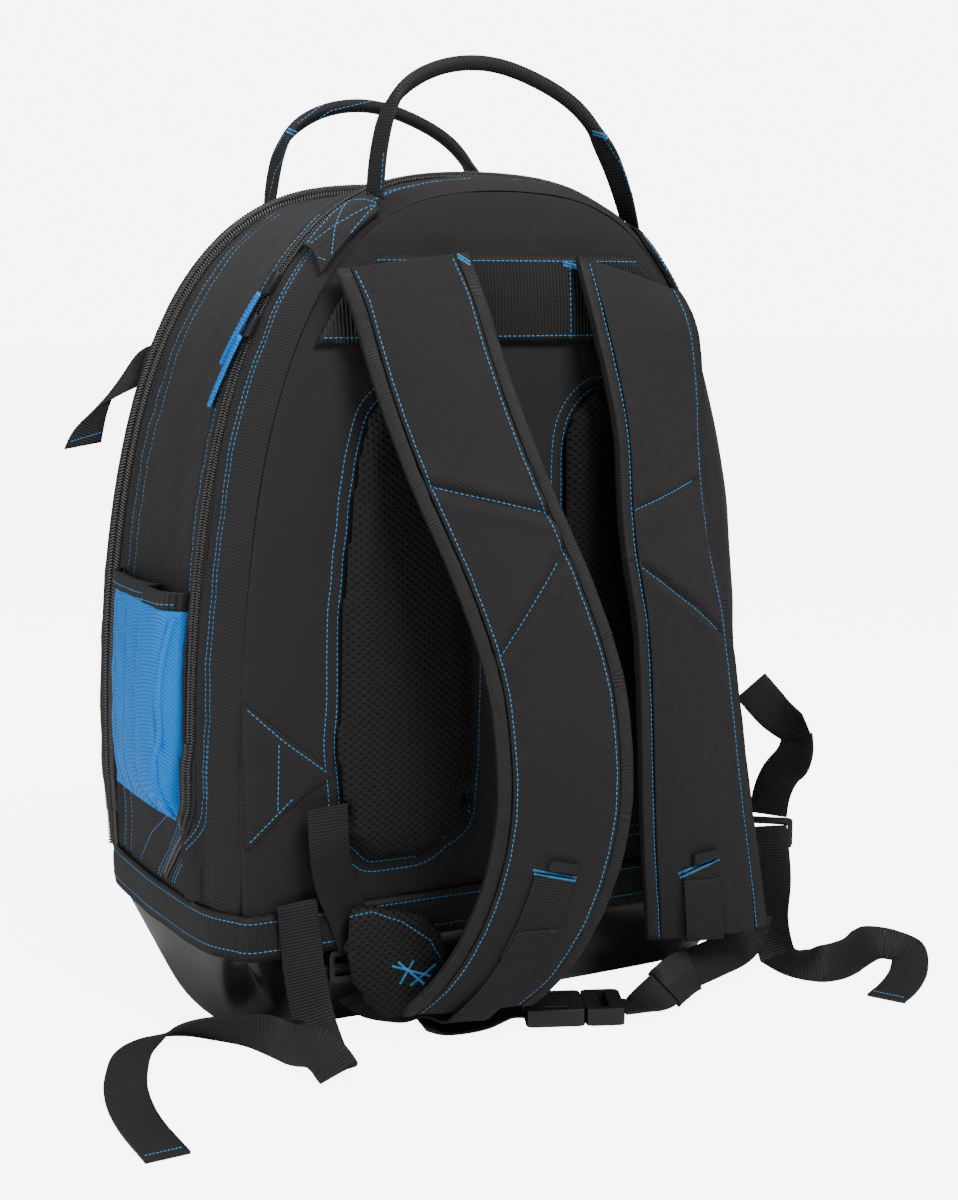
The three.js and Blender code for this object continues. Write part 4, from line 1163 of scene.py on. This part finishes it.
def side_line(surface, side, depths, heights, passes=6):
    """A line on the side of the bag, at these depths and heights."""
    ways = np.tile((-side, 0, 0), (len(heights), 1))
    return calm(*drop(surface, columns(side * SIDE_REACH, depths, heights), ways), passes)


pocket_surface = surface_of(*pockets.values())
for name, (top_y, low_y, width, thickness) in FOLDS.items():
    heights = np.linspace(259, 135, FOLD_STEPS) * MM
    depths = np.linspace(top_y, low_y, FOLD_STEPS) * MM + 0.6 * MM * np.sin(heights * 90)
    line = side_line(pocket_surface, -1, depths, heights, 4)
    ribbon(name, line, width * MM, thickness * MM, blue_twill, "blue_cloth")
    print(name, "width:", width, "mm")

# %% [markdown]
# ## The foot of the rear zip
# On both sides the rear zip swings forward before it meets the rim, so that the bag opens wide. A
# cloth strip covers the straight end of the solid, and a ribbon of tape with its own coil lies on
# it along the curve.

# %% Foot of the rear zip
FOOT_SWING = 46 * MM
FOOT_STEPS = 90
FOOT_END = 87 * MM
ZIP_MIDDLE = -62 * MM
# The stitch rows beside the foot: the height they start at, and how far off its middle they stay.
FOOT_ROWS = ((150 * MM, -9 * MM), (185 * MM, -13 * MM), (130 * MM, 9 * MM), (130 * MM, 13 * MM))


def foot_line(surface, side, high, offset=0.0):
    """A line down the side of the bag that follows the swing of the zip."""
    heights = np.linspace(high, FOOT_END, FOOT_STEPS)
    swing = FOOT_SWING * (1 - smooth_step(heights, 80 * MM, 152 * MM)) ** 1.4
    return side_line(surface, side, ZIP_MIDDLE + offset + swing, heights)


ground = (side_gusset, rear_gusset, tapes["rear_zip"])
foot_tooth = pattern("foot_tooth", (1.35 * MM, 3.4 * MM, 1.6 * MM), 0.38 * MM)
feet, foot_rows = [], []
for side, word in ((-1, "left"), (1, "right")):
    heights = np.linspace(175 * MM, 86 * MM, FOOT_STEPS)
    line = side_line(surface_of(*ground), side, ZIP_MIDDLE, heights)
    cover = ribbon(
        f"foot_cover_{word}", line, 15 * MM, 1.2 * MM, charcoal_twill, "charcoal_cloth"
    )
    over = surface_of(*ground, cover)
    line = foot_line(over, side, 185 * MM)
    tape = ribbon(f"foot_tape_{word}", line, 11 * MM, 0.8 * MM, zip_tape)
    places = spaced(*foot_line(surface_of(tape), side, 184 * MM), ZIPS["rear_zip"][1])
    feet += coil_rows("foot_row", foot_tooth, places, 1.6 * MM)
    foot_rows += [foot_line(over, side, *row) for row in FOOT_ROWS]
    print("teeth on the", word, "foot:", 2 * len(places[0]))
dress(join("foot_coils", feet), zip_nylon, "zip_tape", smooth=50)

# %% [markdown]
# ## Stitches
# Almost every seam shows a row of light blue stitches, and they are what the eye follows. Each is
# a real dash of thread a little proud of the cloth. One dash is modelled. A row is a line
# that is shot at the finished surface, so the thread follows every wave of the cloth below it.
# Where only the photo tells a row's place, the line starts at the camera and goes through its
# pixels.

# %% Thread and rows
STITCH_PITCH = 3.1 * MM
STITCH_LIFT = 0.08 * MM
ROW_STEP = 0.0015
stitch = pattern("stitch", (2.1 * MM, 0.55 * MM, 0.55 * MM), 0.18 * MM)
bar = pattern("bar", (1.5 * MM, 0.6 * MM, 0.6 * MM), 0.2 * MM)


def sew(name, lines, material=blue_thread, shape=stitch, pitch=STITCH_PITCH, turn=0.0):
    """One piece with the stitches of several rows."""
    places = [spaced(*line, pitch) for line in lines if len(line[0]) > 2]
    centres, ahead, outs = (np.concatenate(parts) for parts in zip(*places))
    row = repeat(name, shape, centres, ahead, outs, turn, (0, 0, STITCH_LIFT))
    dress(row, material, "blue_cloth", smooth=60)
    print(name, "stitches:", len(centres))


def dense(corners, step=ROW_STEP):
    """Points close together on a line through the corners."""
    corners = np.asarray(corners, float)
    marks = marks_of(corners)
    places = np.linspace(0, marks[-1], max(3, int(marks[-1] / step)))
    return between(places, marks, corners)


def onto(surface, corners, way=(0, 1, 0), back=0.25):
    """A line through the corners, dropped on a surface along one direction."""
    points = dense(corners)
    way = np.array(way, float) / np.linalg.norm(way)
    return drop(surface, points - way * back, np.tile(way, (len(points), 1)))


def seen(surface, pixels):
    """What the camera's rays through these pixels of the photo meet on the surface."""
    turn = camera.rotation_euler.to_matrix()
    right = (pixels[:, 0] - PHOTO_WIDTH / 2) / FOCAL_PIXELS
    up = (PHOTO_HEIGHT / 2 - pixels[:, 1]) / FOCAL_PIXELS
    ways = [turn @ Vector(way) for way in columns(right, up, -1)]
    return drop(surface, np.tile(CAMERA_AT, (len(ways), 1)), ways)


def seen_line(surface, corners):
    return seen(surface, dense(corners, 2))


# %% [markdown]
# ## The sewn tabs of the strap anchors
# A folded triangle of cloth is sewn over the side seam on each side, and holds the lower webbing.
# It follows the padded back below it, so its grid is shot at that surface and given a little
# thickness. The right one is a mirrored copy.

# %% Anchor tabs
# The tab's corners in the photo: top left, top right, low left and low right.
TAB_CORNERS = np.array([(243, 703), (334, 774), (246, 852), (298, 800)], float)
TAB_STEPS = 18
TAB_THICKNESS = 2.3 * MM


def draped_tab(name, surface):
    """A closed sheet over the surface, thinner at its edges."""
    top_left, top_right, low_left, low_right = TAB_CORNERS
    share = np.linspace(0, 1, TAB_STEPS)
    tops = top_left + share[:, None] * (top_right - top_left)
    lows = low_left + share[:, None] * (low_right - low_left)
    grid = np.array([top + share[:, None] * (low - top) for top, low in zip(tops, lows)])
    points, outs = seen(surface, grid.reshape(-1, 2))
    u, v = np.meshgrid(share, share, indexing="ij")
    edge = np.minimum.reduce([u, 1 - u, v, 1 - v]).ravel()
    lift = TAB_THICKNESS * (0.4 + 0.6 * smooth_step(edge, 0, 0.12))
    high, low = points + outs * lift[:, None], points - outs * 0.4 * MM
    last = TAB_STEPS - 1

    def at(i, j, layer):
        return (layer * TAB_STEPS + i) * TAB_STEPS + j

    faces = []
    for i in range(last):
        for j in range(last):
            corners = [(i, j), (i + 1, j), (i + 1, j + 1), (i, j + 1)]
            faces.append([at(*corner, 0) for corner in corners])
            faces.append([at(*corner, 1) for corner in (corners[0], *reversed(corners[1:]))])
        rims = [((i, 0), (i + 1, 0)), ((last, i), (last, i + 1))]
        rims += [((i + 1, last), (i, last)), ((0, i + 1), (0, i))]
        faces += [[at(*a, 1), at(*b, 1), at(*b, 0), at(*a, 0)] for a, b in rims]
    return new_piece(name, np.concatenate([high, low]), faces)


MIRROR = np.array((-1, 1, 1))
tab_ground = surface_of(back_panel, rear_gusset)
tabs = {"left": draped_tab("tab_left", tab_ground)}
tabs["right"] = bpy.data.objects.new("tab_right", tabs["left"].data.copy())
bpy.context.scene.collection.objects.link(tabs["right"])
move_points(tabs["right"], points_of(tabs["right"]) * MIRROR)
for side, tab in tabs.items():
    set_outward(tab)
    dress(tab, charcoal_twill, "charcoal_cloth", f"anchor_tab_{side}")
print("tab faces:", len(tabs["left"].data.polygons))

# %% [markdown]
# ## Rows over the arch and round the band
# Two rows run beside each zip, because its tape is sewn down twice, and two more hold the band to
# the bag. Their rays start on a circle outside the bag and point at its middle.

# %% Rows over the arch
ARCH_END = 2.09
REAR_END = 1.83
SIDE_ENDS = (1.8, ARCH_END, ARCH_END)
BAND_MIDDLE_Y = 0.01
BAND_ROWS = (81, 63.5)
# A short seam beside the left foot of the zip, in pixels of the photo.
FOOT_SEAM = [(169, 814), (152, 832), (141, 858)]
side_surface = surface_of(side_gusset)
rows = [arch_line(surface_of(rear_gusset), y, REAR_END) for y in REAR_ROWS]
rows += [arch_line(side_surface, y, end) for y, end in zip(SIDE_ROWS, SIDE_ENDS)]
rows += [arch_line(surface_of(front_panel), y, ARCH_END) for y in FRONT_ROWS]
rows += foot_rows
rows.append(seen_line(side_surface, FOOT_SEAM))
sew("arch_stitches", rows)


def round_band(z, surface):
    """A level line round the rim band."""
    angles = np.linspace(-math.pi, math.pi, 1600)
    out = columns(np.cos(angles), np.sin(angles), 0)
    return drop(surface, out * RAY_REACH + (0, BAND_MIDDLE_Y, z), -out)


band_surface = surface_of(rim_band)
sew("band_stitches", [round_band(z * MM, band_surface) for z in BAND_ROWS])

# %% [markdown]
# ## Rows on the straps
# A row follows the inner edge of each binding, and one lies in each slanting groove. The strap's
# run gives their places, and each ray comes from above the strap's own face, however the strap is
# turned.

# %% Rows on the straps
RAY_LIFT = 30 * MM
rows = []
for (side, edge), piece in bindings.items():
    run = runs[f"shoulder_strap_{side}"]
    across = run.measure(points_of(piece))[1]
    inner = np.percentile(np.abs(across), 12) + 1.0 * MM
    print(side, edge, "row at", round(inner / MM, 1), "mm from the middle")
    places = np.linspace(0.002, run.length - 0.002, 260)
    starts, faces = run.at(places, np.sign(across.mean()) * inner, RAY_LIFT)
    rows.append(drop(surface_of(piece, straps[side]), starts, -faces))
for side in ("left", "right"):
    for seam in seam_places(side):
        starts, faces = runs[f"shoulder_strap_{side}"].at(*dense(seam).T, RAY_LIFT)
        rows.append(drop(surface_of(straps[side]), starts, -faces))
sew("strap_stitches", rows)

# %% [markdown]
# ## Sewn ends of the load webbing
# The webbing at the foot of each strap is sewn flat on the strap, and ends in a small loop above
# its stitches. Both are ribbons on the finished strap, so they follow its crown.

# %% Sewn ends of the load webbing
SEWN_AT = {"left": (-0.009, -0.185, 0.113), "right": (0.112, -0.150, 0.094)}
SEWN_STEPS = 40
sewn_webs = {}
for side, top in SEWN_AT.items():
    run, load = runs[f"shoulder_strap_{side}"], runs[f"load_web_{side}"]
    along, across = run.measure(np.array([top, load.centres[1]]))
    surface = surface_of(straps[side])
    starts, faces = run.at(
        np.linspace(*along, SEWN_STEPS), np.linspace(*across, SEWN_STEPS), RAY_LIFT
    )
    line = calm(*drop(surface, starts, -faces), 10)
    sewn_webs[side] = ribbon(f"sewn_web_{side}", line, 25 * MM, 1.8 * MM, black_webbing)
    places = along[0] - np.linspace(0.5, 9.5, 12) * MM
    starts, faces = run.at(places, across[0] + 3 * MM, RAY_LIFT)
    ribbon(f"loop_{side}", drop(surface, starts, -faces), 17 * MM, 3.0 * MM, black_binding)
    print(side, "sewn length:", round((along[1] - along[0]) / MM), "mm")

# %% [markdown]
# ## Rows on the webbing
# Bar tacks are short dense rows where webbing is sewn down and has to hold. Loose ends are folded
# and hemmed, with a row on both faces.

# %% Rows on the webbing
# All in pixels of the photo.
LOAD_TACKS = [
    [(533, 870), (576, 878)],
    [(534, 874), (575, 881)],
    [(678, 874), (718, 856)],
    [(680, 878), (719, 860)],
]
HAUL_SEAM = [(570, 266), (571, 338)]
HAUL_TACKS = [
    [(326, 281), (342, 286)],
    [(326, 284), (342, 289)],
    [(563, 262), (578, 266)],
    [(563, 265), (578, 269)],
]
STRAP_TACKS = [[(457, 254), (470, 262)], [(457, 257), (470, 265)]]

load_surface = surface_of(*sewn_webs.values(), *straps.values())
haul_surface = surface_of(haul_web)
strap_surface = surface_of(straps["left"], bindings["left", "b"])
haul_low, haul_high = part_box("haul_web")
rows = [
    onto(haul_surface, [(haul_low.x, 0, z), (haul_high.x, 0, z)])
    for z in (haul_low.z + 3 * MM, haul_high.z - 3 * MM)
]
rows.append(seen_line(haul_surface, HAUL_SEAM))
sew("webbing_stitches", rows)
tacks = [seen_line(load_surface, line) for line in LOAD_TACKS]
tacks += [seen_line(haul_surface, line) for line in HAUL_TACKS]
tacks += [seen_line(strap_surface, line) for line in STRAP_TACKS]

HEM_STEPS = 30
HEM_PLACE = 6 * MM


def hem(node):
    """A row across a loose webbing end, on both of its faces."""
    run = runs[node]
    lines = []
    for face in (1, -1):
        across = np.linspace(-11, 11, HEM_STEPS) * MM
        places = np.full(HEM_STEPS, run.length - HEM_PLACE)
        starts, faces = run.at(places, across, face * 8 * MM)
        lines.append(drop(surface_of(webs[node]), starts, -faces * face))
    return lines


hems = hem("tail_left") + hem("tail_right") + hem("compression_strap")
sew("hem_stitches", hems, shape=bar, pitch=2.1 * MM)

# %% [markdown]
# ## Rows on the padded back
# Two rows go round each mesh pad. The pad's outline is found from behind: at each angle, a ray
# either hits the pad or misses it, and halving the step between the two closes in on its edge.

# %% Rows on the padded back
PAD_ROWS = (1.5, 8)
PAD_ANGLES = 240
PAD_HALVINGS = 12
# The rows on the left tab, in pixels of the photo. The right tab gets mirrored copies.
TAB_ROWS = [
    [(247, 710), (284, 742), (326, 772)],
    [(279, 744), (278, 810)],
    [(293, 799), (248, 845)],
]
back_surface = surface_of(back_panel, *mesh_pads)


def half_box(piece):
    """The middle and the half sizes of a piece."""
    points = points_of(piece)
    low, high = points.min(axis=0), points.max(axis=0)
    return (high + low) / 2, (high - low) / 2


def pad_outline(pad):
    """The outline of a pad seen from the back, as x and z, at even angles."""
    surface = surface_of(pad)
    middle, half = half_box(pad)
    outline = []
    for angle in np.linspace(0, 2 * math.pi, PAD_ANGLES + 1)[:-1]:
        low, high = 0.2, 1.5
        for _ in range(PAD_HALVINGS):
            share = (low + high) / 2
            x = middle[0] + math.cos(angle) * share * half[0]
            z = middle[2] + math.sin(angle) * share * half[2]
            inside = surface.ray_cast(Vector((x, -0.5, z)), Vector((0, 1, 0)))[0] is not None
            low, high = (share, high) if inside else (low, share)
        outline.append((x, z))
    outline = np.array(outline)
    for _ in range(6):
        outline = (np.roll(outline, 1, axis=0) + outline + np.roll(outline, -1, axis=0)) / 3
    return outline


def offset_outline(outline, offset):
    """A closed line that stays at the offset outside an outline."""
    ahead = np.roll(outline, -2, axis=0) - np.roll(outline, 2, axis=0)
    out = columns(ahead[:, 1], -ahead[:, 0]) / np.linalg.norm(ahead, axis=1)[:, None]
    ring = outline + out * offset
    ring = np.concatenate([ring, ring[:1]])
    return columns(ring[:, 0], 0, ring[:, 1])


outlines = [pad_outline(pad) for pad in mesh_pads]
rows = [
    calm(*onto(back_surface, offset_outline(line, offset * MM)), 4)
    for line in outlines
    for offset in PAD_ROWS
]
tab_surface = surface_of(back_panel, rear_gusset, tabs["left"])
left_tab = [seen_line(tab_surface, line) for line in TAB_ROWS]
rows += left_tab
rows += [(points * MIRROR, faces * MIRROR) for points, faces in left_tab]
sew("back_stitches", rows)

# %% [markdown]
# ## Rows on the pocket, patches and handles
# The pocket's upright rows divide it into narrow places for tools, and the patches carry a box
# with a cross, a seam that is often used where webbing has to hold. Flat pieces give their own
# two ways, so a row on one is written in shares of its half sizes.

# %% Rows on the pocket, patches and handles
POCKET_ROWS = (62, 44, 24, -2, -20)
MOUTH_ROWS = ((68, -7), (-12, -52))
BOX = [(-0.75, -0.7), (0.75, -0.7), (0.75, 0.7), (-0.75, 0.7), (-0.75, -0.7)]
CROSS = [[(-0.7, -0.65), (0.7, 0.65)], [(-0.7, 0.65), (0.7, -0.65)]]
PULLER_ROWS = [[(-0.9, -0.45), (0.9, -0.45)], [(-0.9, 0.45), (0.9, 0.45)]]
# The rest is in pixels of the photo.
HANDLE_ROWS = {
    "rear": [
        [(381, 190), (384, 150)],
        [(604, 138), (622, 165), (636, 205)],
        [(614, 136), (632, 163), (640, 195)],
    ],
    "front": [
        [(256, 205), (264, 170), (285, 133)],
        [(268, 203), (275, 172), (297, 138)],
        [(297, 124), (325, 103), (370, 93), (415, 98)],
        [(300, 133), (330, 111), (372, 101), (412, 106)],
        [(436, 104), (465, 122), (492, 152)],
    ],
}
HANDLE_TACKS = [
    [(592, 131), (612, 137)],
    [(593, 134), (613, 140)],
    [(284, 127), (303, 135)],
    [(282, 130), (301, 138)],
    [(480, 146), (494, 139)],
]
WING_TACKS = [
    [(392, 966), (430, 976)],
    [(400, 984), (414, 960)],
    [(398, 962), (424, 984)],
    [(436, 964), (410, 986)],
]
WING_ROW = [(338, 930), (352, 916), (372, 912), (402, 922), (430, 940), (440, 958)]


def from_the_left(surface, low, high):
    """A line on the left side of the bag between two places, as (y, z) in millimetres."""
    ends = [(0, y * MM, z * MM) for y, z in (low, high)]
    return onto(surface, ends, (1, 0, 0), SIDE_REACH)


rows = [from_the_left(pocket_surface, (y, 134), (y, 258)) for y in POCKET_ROWS]
sew("pocket_stitches", rows, sky_thread)
mouth_surface = surface_of(*pocket_bindings)
rows = [from_the_left(mouth_surface, (a, 266), (b, 266)) for a, b in MOUTH_ROWS]
sew("pocket_binding_stitches", rows)


def flat_frame(piece):
    """Middle, long way, short way and outward way of a flat piece, with its half sizes."""
    points = points_of(piece)
    middle, _ = half_box(piece)
    ways = np.linalg.svd(points - points.mean(axis=0), full_matrices=False)[2]
    out = ways[2] if ways[2] @ (middle - (0, 0.01, 0.2)) > 0 else -ways[2]
    spread = (points - middle) @ ways.T
    return middle, ways[0], ways[1], out, np.abs(spread).max(axis=0)


def on_patch(piece, corners, surface):
    """A line on a flat piece, from corners that are shares of its half sizes."""
    middle, long_way, short_way, out, half = flat_frame(piece)
    places = [middle + u * half[0] * long_way + v * half[1] * short_way for u, v in corners]
    return onto(surface, places, -out, 0.05)


rows = []
for piece in patches.values():
    over = surface_of(piece, *handles.values())
    rows += [on_patch(piece, corners, over) for corners in (BOX, *CROSS)]
for node, piece in pullers.items():
    surface = surface_of(piece)
    lines = [on_patch(piece, corners, surface) for corners in PULLER_ROWS]
    sew(f"{node}_stitches", lines, sky_thread)
for side, lines in HANDLE_ROWS.items():
    surface = surface_of(handles[side])
    rows += [seen_line(surface, line) for line in lines]
handle_surface = surface_of(*handles.values())
wing_surface = surface_of(wings["left"])
tacks += [seen_line(handle_surface, line) for line in HANDLE_TACKS]
tacks += [seen_line(wing_surface, line) for line in WING_TACKS]
rows.append(seen_line(wing_surface, WING_ROW))
sew("patch_stitches", rows)
sew("tack_stitches", tacks, shape=bar, pitch=0.9 * MM, turn=math.pi / 2)
